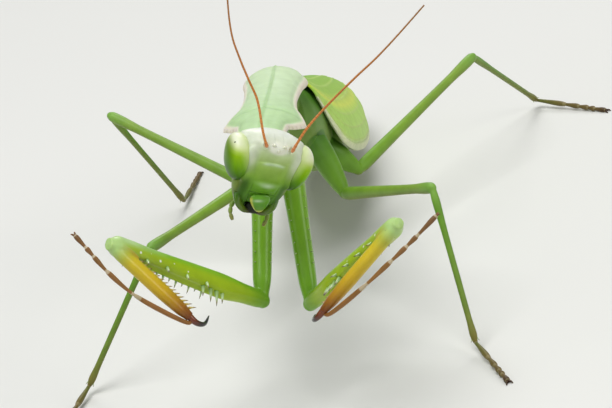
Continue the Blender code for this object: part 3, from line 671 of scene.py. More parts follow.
def face_relief(x, up):
    """How far the face stands out at a place, and how deep it lies in a groove or on the sunken mouth (0 to
    1), which is painted as shade.
    """
    ax = np.abs(x)
    plates = [
        step_down(ax, half, ease) * band(up, low, low_ease, high + bow * x * x, high_ease)
        for _, half, ease, low, low_ease, high, high_ease, bow in PLATES
    ]
    grooves = sum(
        depth * line(up, place + bow * x * x, width) * step_down(ax, half, ease)
        for depth, place, bow, width, half, ease in CROSS_GROOVES
    )
    grooves += sum(
        depth * line(ax, place + lean * up, width) * band(up, *ends)
        for depth, place, lean, width, *ends in UPRIGHT_GROOVES
    )
    sockets = np.hypot(ax - ANTENNA_ROOT[0], up - ANTENNA_ROOT[2])
    out = sum(row[0] * plate for row, plate in zip(PLATES, plates))
    out += sum(height * hill(ax, up, *place) for height, *place in SWELLINGS)
    out += 0.1 * line(sockets, 0.3, 0.1) - 0.1 * line(sockets, 0, 0.16) - GROOVE_DEPTH * grooves
    return out, np.clip(grooves + plates[-1], 0, 1)


def eye_frame(sign):
    return head_axes(*mirrored(EYE_CENTRE, sign)) @ Matrix.Rotation(sign * EYE_LEAN, 4, "Y")


def eye_reach(way):
    """How far out an eye's surface lies along some directions, where that of an ellipsoid lies at 1."""
    power = 2 + EYE_FULLNESS * step_up(way[:, 2], 0.1, 1.2)
    return (np.abs(way) ** power[:, None]).sum(axis=1) ** (-1 / power)


def eye_mesh(size):
    """An ellipsoid whose upper half is a little square, as a mantis's eye is."""
    mesh = sphere_mesh((1, 1, 1))
    unit = points_of(mesh)
    set_points(mesh, unit * eye_reach(unit)[:, None] * np.array(EYE_RADII) * size)
    return mesh


def sink_sockets(mesh):
    """Draws the skin in where an eye covers it, so that the eye's edge is one clean line."""
    points = points_of(mesh)
    for _, sign in SIDES:
        unit = moved(points, eye_frame(sign).inverted()) / np.array(EYE_RADII)
        size = np.linalg.norm(unit, axis=1)
        share = size / eye_reach(unit / size[:, None])
        sunk = 1 - SOCKET_DEPTH * (1 - step_up(share, 1.03, 0.07))
        points = moved(unit * sunk[:, None] * np.array(EYE_RADII), eye_frame(sign))
    set_points(mesh, points)


HEAD_CHITIN = finish(
    "head_chitin", HEAD_STOPS, HEAD_TINTS, roughness=0.42, coat=0.08, mottle=0.5, grain=0.55, grain_mm=0.2,
    subsurface=0.1,
)


def make_head():
    shapes = [grid_mesh(table_grid(HEAD_SECTIONS, 120, 120, 2.3), HEAD_FRAME)]
    for _, sign in SIDES:
        bed = eye_mesh(EYE_BED)
        bed.transform(eye_frame(sign) @ Matrix.Translation((-sign * EYE_BED_SHIFT, EYE_BED_SHIFT, 0)))
        shapes += [bed, sphere_mesh(FILL_RADII, at=head_axes(*mirrored(FILL_CENTRE, sign)))]
    shapes.append(sphere_mesh(CROWN_RADII, at=head_axes(*CROWN_CENTRE)))
    mesh = fused(shapes, HEAD_VOXEL, HEAD_ROUNDS)
    sink_sockets(mesh)
    mesh.transform(HEAD_FRAME.inverted())
    points = points_of(mesh)
    x, up, out = points.T.copy()
    ax = np.abs(x)
    relief, groove = face_relief(x, up)
    front = step_up(out, 0.35, 0.7) * step_down(ax, 2.5, 0.5)
    points[:, 2] += relief * front
    set_points(mesh, points)
    # painted highlights: along the ridge of the forehead and on the dome above the lip
    ridge = line(up, 1.17 - 0.1 * x * x, 0.13) * step_down(ax, 0.95, 0.6)
    shine = hill(x, up, 0.05, -0.98, 0.72, 0.2)
    paint(
        # the tone is paler to the crown partly as painted skylight, and darker low on the face partly as
        # painted shade
        mesh, tone=(up + 0.25 * step_up(-out, 0, 1.5) - HEAD_LOW) / (HEAD_HIGH - HEAD_LOW),
        # the groove mask is painted shade in the grooves and on the sunken mouth
        groove=groove * front, rim=step_up(ax, 2.15, 0.5) * step_down(up, -1.2, 1),
        pale=step_up(ax, 1.7, 0.9) * step_up(up, 0.4, 2.2),
        # painted shade on the cheeks, between the eyes and the jaws
        dark=band(ax, 1.45, 0.6, 2.4, 0.4) * step_down(up, -0.9, 1.2),
        cream=step_up(hill(x, up, 0, 2.7, 1.05, 0.56), 0.42, 0.5) * front,
        # painted highlight on the ridge and the dome
        polish=np.clip(ridge + shine, 0, 1) * front,
    )
    mesh.transform(HEAD_FRAME)
    set_piece("head_skin", mesh, HEAD_CHITIN, "cuticle", "head")


OCELLUS_GLASS = finish(
    "ocellus_glass", ((0, 0.72, 0.76, 0.56), (1, 0.82, 0.84, 0.66)), roughness=0.1, coat=0.8, mottle=0.1,
    grain=0.05,
)


def make_eyes():
    for side, sign in SIDES:
        mesh = eye_mesh(1)
        outward, _, rise = (points_of(mesh) / np.array(EYE_RADII)).T
        outward = outward * sign
        # the tone follows height, for painted shade below and a painted sky reflection on top
        paint(
            mesh, tone=np.clip(0.5 + 0.5 * rise, 0, 1),
            inner=step_up(0.5 * rise - 0.85 * outward, 0.44, 0.9), outer=step_up(outward, 0.7, 0.5),
        )
        spot = eye_frame(sign) @ Vector(mirrored(EYE_SPOTS[side], sign))
        mesh.transform(eye_frame(sign))
        # the dark outer tint is painted shade on the eye's outer side
        glassy = finish(
            "eye_" + side, EYE_STOPS, (("outer", (0.035, 0.12, 0.001), 0.65),
            ("inner", (0.62, 0.74, 0.32), 0.85)), ((spot, SPOT_RADIUS, (0.02, 0.05, 0.01)),), roughness=0.32,
            coat=0.14, specular=0.12, mottle=0.16, grain=0.1, grain_mm=0.12, bump_mm=0.008, subsurface=0.12,
            cells=1, cells_mm=0.055,
        )
        set_piece("eye_ball_" + side, mesh, glassy, "eye", "eye_" + side)
    for number, (left, up, radius) in enumerate(OCELLI):
        at = Matrix.Translation(head_point(left, OCELLUS_BACK + 0.55 * max(0, up - 2.6), up))
        mesh = sphere_mesh((radius, radius, radius * 0.9), 32, 20, at, tone=0.5)
        set_piece(f"ocellus_{number}", mesh, OCELLUS_GLASS, "eye")


# the pale green-white tint near the top is a painted highlight; the yellow edge is the lip's own colour
LIP_CHITIN = finish(
    "lip_chitin", ((0, 0.16, 0.33, 0.006), (0.45, 0.09, 0.29, 0.008), (1, 0.15, 0.39, 0.03)),
    (("edge", (0.62, 0.62, 0.1), 0.9), ("shine", (0.62, 0.76, 0.56), 0.6)), roughness=0.25, coat=0.3,
    mottle=0.2, grain=0.25, grain_mm=0.2,
)
JAW_CHITIN = finish(
    "jaw_chitin", ((0, 0.06, 0.18, 0.008), (0.6, 0.1, 0.18, 0.01), (1, 0.05, 0.015, 0.005)), roughness=0.25,
    coat=0.5, grain=0.3, grain_mm=0.2,
)
# near black: painted shade inside the mouth
MOUTH_SHADE = finish(
    "mouth_shade", ((0, 0.012, 0.016, 0.006), (1, 0.02, 0.025, 0.01)), roughness=0.5, mottle=0.2,
)
PALP_CHITIN = finish("palp_chitin", ((0, 0.11, 0.24, 0.02), (0.5, 0.22, 0.34, 0.06), (1, 0.28, 0.26, 0.08)))


def make_mouth():
    """The upper lip, the tips of the jaws, the lower lip and its feelers."""
    grid = table_grid(LABRUM_ROWS, 48, 64, 2.4)
    x, up = grid[..., 0], grid[..., 1]
    share = -x / np.abs(x).max(axis=1, keepdims=True)
    edge = step_down(up, 0.22, 0.24) + step_up(share, 0.8, 0.2) * step_down(up, 1.5, 0.4)
    place = axes(head_point(*LABRUM_PLACE), HEAD_UP, -HEAD_BACK) @ Matrix.Rotation(LABRUM_TURN, 4, "Z")
    # the mask near the top left of the lip is a painted highlight
    mesh = grid_mesh(grid, place, tone=up / LABRUM_LENGTH, edge=np.clip(edge, 0, 1),
                     shine=hill(x, up, -0.25, 1.32, 0.38, 0.12) * (grid[..., 2] > 0))
    set_piece("upper_lip", mesh, LIP_CHITIN, "mouth", "labrum")
    for side, sign in SIDES:
        points = curve_points([head_point(*mirrored(knot, sign)) for knot in JAW_PATH], 26)
        radii = 0.5 - 0.34 * np.linspace(0, 1, 26) ** 1.6
        set_piece("jaw_" + side, tube_mesh(points, radii, 28, 0.75), JAW_CHITIN, "mouth")
    # the mouth floor is a near-black piece that stands for the shade in the mouth
    centre, radii = MOUTH_FLOOR
    mesh = sphere_mesh(radii, 40, 24, head_axes(*centre), tone=0.5)
    set_piece("mouth_floor", mesh, MOUTH_SHADE, "mouth")
    centre, radii = LOWER_LIP
    mesh = sphere_mesh(radii, 48, 32, head_axes(*centre), tone=0.2)
    set_piece("lower_lip", mesh, JAW_CHITIN, "mouth")
    share = np.linspace(0, 1, 60)
    radii = (0.15 + 0.09 * np.sin(math.pi * np.minimum(1, 4 * share % 1 * 1.05)) ** 0.5) * (1 - 0.25 * share)
    for side, sign in SIDES:
        points = curve_points([head_point(*mirrored(knot, sign)) for knot in PALP_PATH], 60)
        mesh = tube_mesh(points, radii, 20)
        set_piece("palp_jointed_" + side, mesh, PALP_CHITIN, "mouth", "palp_" + side)


ANTENNA_CHITIN = finish(
    "antenna_chitin", ((0, 0.66, 0.27, 0.12), (0.06, 0.66, 0.24, 0.06), (0.35, 0.5, 0.17, 0.025),
    (1, 0.26, 0.11, 0.02)), (("joint", (0.2, 0.06, 0.015), 0.55),), roughness=0.42, grain=0.3,
)


def make_antennae():
    for side, sign in SIDES:
        root = head_point(*mirrored(ANTENNA_ROOT, sign))
        points = curve_points((root, *ANTENNA_PATHS[side]), ANTENNA_RINGS)
        share = np.linspace(0, 1, ANTENNA_RINGS)
        place = share * sum((b - a).length for a, b in zip(points, points[1:]))
        joints = (place / ANTENNA_JOINT) % 1
        radii = ANTENNA_RADIUS * (1 - 0.42 * share) * (0.9 + 0.13 * np.sin(math.pi * joints) ** 0.6)
        scape = 0.175 * np.sin(math.pi * np.clip(place / 0.66, 0.12, 1)) ** 0.35
        radii = np.where(place < SCAPE_END, scape, np.where(place < PEDICEL_END, 0.15, radii))
        mesh = tube_mesh(points, np.maximum(radii, 0.06), ANTENNA_SIDES,
                         joint=step_up(np.abs(joints - 0.5), 0.42, 0.12))
        set_piece("feeler_" + side, mesh, ANTENNA_CHITIN, "antenna", "antenna_" + side)


# ======== the body's one skin
def on_thorax(left, along, up):
    return THORAX + THORAX_ALONG.cross(THORAX_UP) * left + THORAX_ALONG * along + THORAX_UP * up


BODY_SHAPES = []  # closed shapes that the skin is drawn over
BODY_NODES = []  # the solids it stands for


def make_body_skin(materials):
    """One continuous skin over the neck, trunk and abdomen and the upper parts of all six legs."""
    skin = fused(BODY_SHAPES)
    points, normals = points_of(skin), numbers_of(skin.vertex_normals, "vector", 3)
    trunk_lines = (
        (head_point(*NECK_ROOT), PROTHORAX + Vector((0.3, 3, 0))),
        (PROTHORAX, PRONOTUM_REAR - PRONOTUM_UP * 1.4), (on_thorax(0, -4, 0), on_thorax(0, 5.5, 0)),
        (ABDOMEN, ABDOMEN + ABDOMEN_ALONG * ABDOMEN_LENGTH),
    )
    nearest = along_limbs(points, trunk_lines)[2] - TRUNK_GIRTH
    ring_place = (points - np.array(ABDOMEN)) @ np.array(ABDOMEN_ALONG) * ABDOMEN_RINGS / ABDOMEN_LENGTH
    fold = 1 - step_up(np.abs((ring_place + 0.5) % 1 - 0.5), 0.06, 0.08)
    painted = {
        # tone by place along the body; its darker middle is painted shade
        "tone": np.clip((points[:, 1] - 2) / 66, 0, 1),
        "below": 1 - step_up(normals @ np.array(ABDOMEN_UP), 0.1, 0.8),
        "fold": np.where((ring_place > 0.3) & (ring_place < ABDOMEN_RINGS + 0.2), fold, 0),
    }
    region = np.zeros(len(points), dtype=np.int32)

    def claim(joints, girth, number):
        """Gives the skin near a leg its number and its tone, and tells where on the leg each point lies."""
        nonlocal nearest, region
        value, out, distance = along_limbs(points, list(zip(joints, joints[1:])))
        mine = distance - girth < nearest
        nearest = np.where(mine, distance - girth, nearest)
        region = np.where(mine, number, region)
        painted["tone"] = np.where(mine, value / 3, painted["tone"])
        return value, out, mine

    for number, joints in enumerate(FORE.values(), start=1):
        _, hinge, knee, end = map(Vector, joints)
        value, out, mine = claim(joints, FORE_GIRTH, number)
        toothed = -np.array(axes(hinge, knee - hinge, knee - end).to_3x3().col[2])
        tibia_up = np.array(axes(knee, end - knee, knee - hinge).to_3x3().col[2])
        inner = step_up(out @ toothed, 0, 0.9) * step_up(np.clip(value - 1, 0, 1), 0.1, 0.25)
        shade = step_up(-(out @ tibia_up), 0.35, 0.8) * step_up(value, 2.1, 0.3)
        painted["inner"] = np.where(mine, inner * step_down(value, 1.97, 0.1), painted.get("inner", 0))
        painted["shade"] = np.where(mine, shade, painted.get("shade", 0))
    for name, (hip, knee, ankle, _) in WALK.items():
        value, out, mine = claim((walking_root(name), hip, knee, ankle), WALK_GIRTH, len(FORE) + 1)
        # the underside, painted browner partly as shade
        under = step_up(-out[:, 2], 0.3, 0.9) * step_up(value, 0.9, 0.3)
        painted["under"] = np.where(mine, under, painted.get("under", 0))
    paint(skin, **painted)
    set_materials(skin, materials, region)
    set_piece("body_skin", skin, None, "cuticle", *BODY_NODES)


# ======== trunk
# the darker green tint on the underside is painted shade under the overhanging shield
SHIELD_CHITIN = finish(
    "shield_chitin", ((0, 0.48, 0.68, 0.36), (0.3, 0.49, 0.69, 0.37), (0.6, 0.56, 0.72, 0.45),
    (1, 0.6, 0.74, 0.48)), (("below", (0.12, 0.28, 0.03), 0.7), ("keel", (0.2, 0.42, 0.1), 0.5),
    ("rim", (0.86, 0.76, 0.66), 0.9), ("tooth", (0.36, 0.2, 0.1), 0.25)), roughness=0.52, specular=0.24,
    grain=0.28, subsurface=0.2,
)


def make_shield():
    grid = table_grid(PRONOTUM_SECTIONS, 260, 160)
    x, y, z = (grid[..., k].copy() for k in range(3))
    ax = np.abs(x)
    half = ax.max(axis=1, keepdims=True)
    share = ax / half
    height = z + smooth_rows(PRONOTUM_SECTIONS, y[:, 0])[:, 4:] * share**2
    top = step_up(height, 0.05, 0.3)
    furrow = FURROW - 0.25 * ax
    grid[..., 2] += top * (
        0.1 * line(x, 0, 0.1) * step_up(y, 2, 4)  # keel
        - 0.09 * line(y, furrow, 0.55) * step_down(ax, half * 0.8, 1.2)  # cross furrow
        - 0.05 * line(ax, 0.85 + 0.06 * y * (y < 8), 0.35) * step_down(y, 8, 3)
        - 0.1 * line(share, 0.86, 0.06)  # inside the rim
    )
    teeth = 0.5 + 0.5 * np.sin(y * math.tau / TOOTH_STEP)
    edge = step_up(share, 0.975, 0.05)
    grid[..., 0] *= 1 + 0.014 * edge * (teeth**3 - 0.6)
    mesh = grid_mesh(
        grid, axes(PRONOTUM_FRONT, PRONOTUM_REAR - PRONOTUM_FRONT, PRONOTUM_UP),
        tone=np.clip(y / PRONOTUM_LENGTH, 0, 1), rim=step_up(share, 0.9, 0.12) * step_up(height, -0.1, 0.1),
        keel=top * (line(x, 0, 0.16) * 0.8 + 0.5 * line(y, furrow, 0.3)), tooth=edge * teeth**4,
        # painted shade on the shield's underside
        below=1 - step_up(height, -0.02, 0.2),
    )
    set_piece("shield", mesh, SHIELD_CHITIN, "shield", "pronotum")


# by place from head to tail: the darker stretch in the middle, under the shield and over the thorax, is
# painted shade
TRUNK_CHITIN = finish(
    "trunk_chitin", ((0, 0.17, 0.43, 0.02), (0.12, 0.16, 0.39, 0.02), (0.24, 0.085, 0.245, 0.022),
    (0.46, 0.085, 0.225, 0.025), (0.6, 0.16, 0.33, 0.03), (0.8, 0.2, 0.34, 0.05), (1, 0.2, 0.28, 0.05)),
    (("below", (0.3, 0.4, 0.1), 0.55), ("fold", (0.36, 0.4, 0.12), 0.6)), roughness=0.45, mottle=0.45,
    grain=0.5, grain_mm=0.3, coat=0.05,
)


def make_trunk():
    along = (PRONOTUM_REAR - PRONOTUM_FRONT).normalized()
    thorax_at = axes(THORAX, THORAX_ALONG, THORAX_UP)
    abdomen_at = axes(ABDOMEN, ABDOMEN_ALONG, ABDOMEN_UP)
    rings = np.arange(RING_STEPS * ABDOMEN_RINGS + 1) / RING_STEPS
    rows = smooth_rows(ABDOMEN_SECTIONS, rings * ABDOMEN_LENGTH / ABDOMEN_RINGS)
    rows[:, 1:] *= (0.955 + 0.04 * (rings % 1) - 0.05 * line(rings % 1, 0, 0.07))[:, None]
    notum_at = axes(on_thorax(0, 1.5, 1.6), THORAX_ALONG, THORAX_UP)
    BODY_SHAPES.extend([
        grid_mesh(table_grid(PROTHORAX_SECTIONS, 60, 48), axes(PROTHORAX, along, PRONOTUM_UP)),
        limb_mesh(NECK_ROWS, head_point(*NECK_ROOT), PROTHORAX + along * 3, PRONOTUM_UP, 20, 40),
        limb_mesh(WAIST_ROWS, PROTHORAX + along * 25, on_thorax(0, -2, 1.6), THORAX_UP, 16, 40),
        grid_mesh(table_grid(THORAX_SECTIONS, 60, 64, 2.3), thorax_at),
        sphere_mesh(NOTUM_RADII, at=notum_at),
        grid_mesh(ring_grid(rows, 96, 2.2), abdomen_at),
        limb_mesh(LINK_ROWS, on_thorax(0, 5, -0.5), ABDOMEN + ABDOMEN_ALONG, ABDOMEN_UP, 12, 56),
    ])
    BODY_NODES.extend(("neck", "prothorax", "thorax", "abdomen_front", "abdomen_middle", "abdomen_rear"))
    share = np.linspace(0, 1, 90)
    joint = CERCUS_JOINTS * share % 1
    radii = (0.46 - 0.25 * share) * (0.86 + 0.12 * np.sin(math.pi * joint) ** 0.7)
    for side, sign in SIDES:
        path = curve_points([mirrored(knot, sign) for knot in CERCUS_PATH], 90)
        mesh = tube_mesh(path, radii, 24, 0.8, (0.8, 1), abdomen_at)
        set_piece("cercus_jointed_" + side, mesh, TRUNK_CHITIN, "cuticle", "cercus_" + side)


# ======== wings
def wing_grid(side, places, share, lift):
    """A folded forewing's points: share 0 is its edge past the midline, 1 its outer margin."""
    _, crown, reach, margin_x, margin_z = columns_of(smooth_rows(TEGMEN_SECTIONS, places))
    y = places[:, None]
    ease = np.clip((y - TEGMEN_SPAN[0]) / LIFT_EASE, 0, 1) ** 1.5
    lift = lift * (LIFT_AT_FRONT + (1 - LIFT_AT_FRONT) * ease)
    crown = crown + lift * (1 - np.minimum(1, share / LIFT_SHARE) ** 2)
    start, end = OVERLAP_ENDS
    overlap = TEGMEN_OVERLAP * np.minimum(1, np.minimum(y - start, end - y) / OVERLAP_EASE)
    side_height = margin_z + 0.4 * (crown - margin_z)
    weights = ((1 - share) ** 3, 3 * share * (1 - share) ** 2, 3 * share**2 * (1 - share), share**3)
    x = sum(weight * bend for weight, bend in zip(weights, (-overlap, 0.42 * reach, 1.05 * reach, margin_x)))
    z = sum(weight * bend for weight, bend in zip(weights, (crown, crown - 0.1, side_height, margin_z)))
    return np.stack(np.broadcast_arrays(side * x, y, z), axis=2)


def fan_grid(side, places, share):
    end, taper = HINDWING_TAPER
    y = places[:, None]
    x = HINDWING_START + share * HINDWING_WIDTH * np.minimum(1, (end - y) / taper)
    z = smooth_rows(TEGMEN_SECTIONS, places)[:, 1:2] - HINDWING_DROP - HINDWING_BEND * x * x
    return np.stack(np.broadcast_arrays(side * x, y, z), axis=2)


def shell_mesh(outer, inner, at, **painted):
    """A thin sheet between two grids, painted the same on both sides."""
    both = {key: np.broadcast_to(values, outer.shape[:2]) for key, values in painted.items()}
    both = {key: np.concatenate((values, values[:, ::-1]), axis=1) for key, values in both.items()}
    return grid_mesh(np.concatenate((outer, inner[:, ::-1]), axis=1), at, True, **both)


TEGMEN_LEATHER = finish(
    "tegmen_leather", ((0, 0.22, 0.46, 0.03), (0.4, 0.33, 0.57, 0.05), (0.54, 0.66, 0.76, 0.07),
    (0.62, 0.44, 0.72, 0.08), (0.88, 0.52, 0.78, 0.17), (0.94, 0.76, 0.79, 0.5), (1, 0.74, 0.75, 0.54)),
    (("vein", (0.52, 0.68, 0.16), 0.8), ("net", (0.3, 0.52, 0.06), 0.6)), roughness=0.5, specular=0.22,
    mottle=0.35, grain=0.6, subsurface=0.25, cells=1.6, cells_mm=0.55, bump_mm=0.03,
)
# its dark green is partly painted shade, where it shows under the forewings
HINDWING_FILM = finish(
    "hindwing_film", ((0, 0.22, 0.32, 0.07), (1, 0.16, 0.26, 0.05)), roughness=0.3, coat=0.3, cells=1,
    cells_mm=0.5,
)


def make_wings():
    at = axes(THORAX, WING_ALONG, WING_UP)
    start, end = TEGMEN_SPAN
    places = np.linspace(start, end, TEGMEN_ROWS)
    narrow = np.sqrt(1 - 0.99 * np.maximum(0, (places - TIP_START) / (end - TIP_START)) ** 2)
    across = TIP_MIDDLE + (np.linspace(0, 1, TEGMEN_COLUMNS) - TIP_MIDDLE) * narrow[:, None]
    along = np.linspace(0, 1, TEGMEN_ROWS)[:, None]
    vein = np.max([line(across, root + (tip - root) * along, 0.01) for root, tip in VEINS], axis=0)
    cells = [across * wide + along * long for wide, long in NET_CELLS]
    net = np.max([line(cell % 1, 0.5, 0.1) for cell in cells], axis=0) * 0.5 * step_up(across, 0.2, 0.1)
    fan_places = np.linspace(*HINDWING_SPAN, FAN_ROWS)
    fan_share = np.linspace(0, 1, FAN_COLUMNS)
    pleats = np.zeros((FAN_COLUMNS, 3))
    pleats[:, 2] = PLEAT_RISE * np.sin(fan_share * math.tau * FAN_PLEATS)
    half = np.array((0, 0, HINDWING_HALF))
    for (side, sign), lift in zip(SIDES, (TEGMEN_LIFT, 0)):
        grid = wing_grid(sign, places, across, lift)
        normal = np.cross(np.gradient(grid, axis=0), np.gradient(grid, axis=1))
        normal /= np.maximum(np.linalg.norm(normal, axis=2, keepdims=True), 1e-9)
        normal *= np.sign(normal[..., 2:3] + 1e-9)
        relief = TEGMEN_THICK / 2 - VEIN_RISE + VEIN_RISE * np.maximum(vein, 0.35 * net)
        mesh = shell_mesh(grid + normal * relief[..., None], grid - normal * TEGMEN_THICK / 2, at,
                          tone=across, vein=vein, net=net)
        set_piece("forewing_" + side, mesh, TEGMEN_LEATHER, "tegmen", "tegmen_" + side)
        grid = fan_grid(sign, fan_places, fan_share)
        mesh = shell_mesh(grid + half + pleats, grid - half + pleats, at, tone=0.5)
        set_piece("fan_" + side, mesh, HINDWING_FILM, "hindwing", "hindwing_" + side)


# ======== grasping legs
LEG_STOPS = (
    (0, 0.21, 0.43, 0.025), (0.25, 0.18, 0.4, 0.02), (0.345, 0.15, 0.35, 0.015), (0.4, 0.21, 0.44, 0.015),
    (0.55, 0.22, 0.45, 0.02), (0.605, 0.34, 0.56, 0.14), (0.64, 0.48, 0.68, 0.3), (0.68, 0.44, 0.64, 0.22),
    (0.715, 0.5, 0.52, 0.06), (0.745, 0.68, 0.54, 0.03), (0.88, 0.62, 0.4, 0.015), (0.96, 0.34, 0.14, 0.012),
    (1, 0.18, 0.04, 0.008),
)
# the dark green at the hips' roots is painted shade under the thorax; the brown under tint is partly the
# legs' own colour, partly painted shade
WALKING_CHITIN = finish(
    "walking_chitin", ((0, 0.085, 0.225, 0.025), (0.17, 0.15, 0.33, 0.025), (0.33, 0.16, 0.34, 0.022),
    (0.45, 0.21, 0.37, 0.035), (0.62, 0.22, 0.36, 0.045), (0.66, 0.22, 0.42, 0.07),
    (0.72, 0.14, 0.31, 0.022), (0.92, 0.17, 0.26, 0.035), (1, 0.22, 0.18, 0.04)),
    (("under", (0.2, 0.17, 0.03), 0.5),), roughness=0.42, mottle=0.45, grain=0.5, grain_mm=0.25,
)
SPINE_CHITIN = finish(
    "spine_chitin", ((0, 0.22, 0.42, 0.08), (0.6, 0.5, 0.62, 0.36), (0.8, 0.2, 0.16, 0.08),
    (1, 0.01, 0.01, 0.01)), roughness=0.28, coat=0.3, mottle=0.15, grain=0.2,
)
TOOTH_CHITIN = finish(
    "tooth_chitin", ((0, 0.5, 0.34, 0.04), (0.45, 0.62, 0.52, 0.22), (0.72, 0.26, 0.12, 0.03),
    (1, 0.02, 0.01, 0.006)), roughness=0.28, coat=0.3, mottle=0.15, grain=0.2,
)
CLAW_HORN = finish(
    "claw_horn", ((0, 0.3, 0.11, 0.012), (0.22, 0.18, 0.035, 0.01), (0.45, 0.03, 0.012, 0.01),
    (0.62, 0.01, 0.01, 0.014), (1, 0.025, 0.025, 0.032)), roughness=0.2, coat=0.6, mottle=0.2, grain=0.2,
    subsurface=0,
)
FORE_FOOT_CHITIN = finish(
    "fore_foot_chitin", ((0, 0.3, 0.12, 0.025), (0.5, 0.32, 0.15, 0.04), (1, 0.2, 0.1, 0.04)),
    (("joint", (0.62, 0.52, 0.36), 0.8),), mottle=0.55, grain=0.5,
)
FOOT_CHITIN = finish(
    "foot_chitin", ((0, 0.14, 0.16, 0.03), (0.4, 0.16, 0.12, 0.03), (0.9, 0.14, 0.09, 0.03),
    (1, 0.06, 0.03, 0.015)), (("joint", (0.3, 0.25, 0.12), 0.6),), roughness=0.45, mottle=0.45, grain=0.5,
)


def make_spines(name, rows, sign, length, at, material, slot="cuticle"):
    """Rows of slender curved spines on a limb; their tone runs from 0 at the root to 1 at the tip."""
    spines = []
    for across, height, lean, ahead, radius, bend, places in rows:
        way = Vector((sign * lean, ahead, -1)).normalized()
        radii = [radius * max((1 - k / 8) ** 0.75, 0.06) for k in range(9)]
        for share, size in places:
            root = Vector((sign * across, share * length, height))
            points = [root + way * (size * k / 8) + Vector((0, bend, 0)) * (k / 8) ** 2 for k in range(9)]
            spines.append(tube_mesh(points, radii, 10))
    set_piece(name, joined(spines, at), material, slot)


def make_grasping_leg(side, sign):
    hip, hinge, knee, end = map(Vector, FORE[side])
    coxa_at = axes(hip, hinge - hip, TAILWARD)
    femur_at = axes(hinge, knee - hinge, knee - end)
    tibia_at = axes(knee, end - knee, knee - hinge)
    length, shank = (knee - hinge).length, (end - knee).length
    femur_grid = table_grid(FORE_FEMUR_SECTIONS, 120, 64, 2.15, length)
    x, y, z = femur_grid[..., 0], femur_grid[..., 1] / length, femur_grid[..., 2]
    trough = line(x, 0, 0.34) * step_up(-z, 0.3, 0.5) * band(y, 0.3, 0.15, 0.96, 0.1)
    femur_grid[..., 2] += TROUGH_DEPTH * trough
    BODY_SHAPES.extend([
        limb_mesh(FORE_COXA_SECTIONS, hip, hinge, TAILWARD, 60, 48, 2.3),
        grid_mesh(femur_grid, femur_at),
        limb_mesh(FORE_TIBIA_SECTIONS, knee, end, knee - hinge, 80, 44, 2.2),
        sphere_mesh(HINGE_RADII, 40, 28, femur_at),
        sphere_mesh(KNEE_RADII, 40, 28, tibia_at),
    ])
    BODY_NODES.extend(("fore_coxa_" + side, "fore_femur_" + side, "fore_tibia_" + side))
    pearls = [
        (femur_at @ Vector((flank * PEARL_SIDE, share * length, height)), size, PEARL_COLOUR)
        for share, height, size in PEARLS for flank in (-1, 1)
    ]
    leg_finish = finish(
        "leg_" + side, LEG_STOPS, (("inner", (0.36, 0.5, 0.008), 0.9), ("shade", (0.36, 0.22, 0.03), 0.35)),
        pearls, roughness=0.34, coat=0.1, grain=0.45, grain_mm=0.25, subsurface=0.25,
    )
    make_spines("femur_spines_" + side, FEMUR_SPINES, sign, length, femur_at, SPINE_CHITIN)
    make_spines("tibia_teeth_" + side, TIBIA_TEETH, 1, shank, tibia_at, TOOTH_CHITIN, "tibia")
    make_spines("coxa_thorns_" + side, COXA_THORNS, 1, (hinge - hip).length, coxa_at, SPINE_CHITIN)
    claw_path = curve_points(((0, shank - 0.6, -0.05), (0, shank + 0.7, 0), (0, shank + 1.5, -0.75),
                              (0, shank + 1.55, -CLAW_DROP)), 44)
    radii = 0.35 * (1 - np.linspace(0, 1, 44)) ** 0.62 + 0.02
    mesh = tube_mesh(claw_path, radii, 28, at=tibia_at)
    set_piece("claw_" + side, mesh, CLAW_HORN, "tibia")
    first, *toes = map(Vector, FORE_TARSUS[side])
    path = curve_points((end, first.lerp(end, 0.45), *toes), 220)
    make_foot("fore_foot_" + side, path, FORE_FOOT_RADIUS, FORE_FOOT_CHITIN, "fore_tarsus_" + side)
    return leg_finish


# ======== feet and walking legs
def foot_radius(share, radius):
    """The radius of a foot of five joints, each slender at its root, and the place along the joint."""
    start = 0
    for size in TARSUS_SHARES:
        if share <= start + size + 1e-6:
            t = (share - start) / size
            return radius * (0.6 + 0.4 * math.sin(math.pi * min(1, t * 0.96) ** 2.2) ** 0.8), t
        start += size
    return radius * 0.6, 1


def make_foot(name, path, radius, material, cad_node):
    """A jointed foot with two claws, which doesn't reach below the floor."""
    count = len(path)
    radii, places = zip(*(foot_radius(k / (count - 1), radius) for k in range(count)))
    joint = [1 if t < 0.1 or t > 0.93 else 0 for t in places]
    shapes = [tube_mesh(path, radii, 24, joint=joint)]
    way = (path[-1] - path[-6]).normalized()
    across = way.cross(Vector(UPWARD)).normalized()
    reach = radius * 1.9
    end = path[-1]
    for flank in (-1, 1):
        middle = end + way * reach * 0.45 + across * flank * reach * 0.42
        tip = end + way * reach * 0.85 + across * flank * reach * 0.55 - Vector(UPWARD) * 0.3 * reach
        radii = radius * 0.42 * (1 - np.linspace(0, 1, 14)) ** 0.7 + 0.015
        toe = curve_points((end - way * 0.1, middle, tip), 14)
        shapes.append(tube_mesh(toe, radii, 12, tones=(1, 1), joint=np.zeros(14)))
    mesh = joined(shapes)
    points = points_of(mesh)
    points[:, 2] = np.maximum(points[:, 2], 0)
    set_points(mesh, points)
    set_piece(name, mesh, material, "foot", cad_node)


def walking_root(name):
    pair, side = name.split("_")
    return on_thorax(*mirrored(COXA_ROOT[pair], dict(SIDES)[side]))


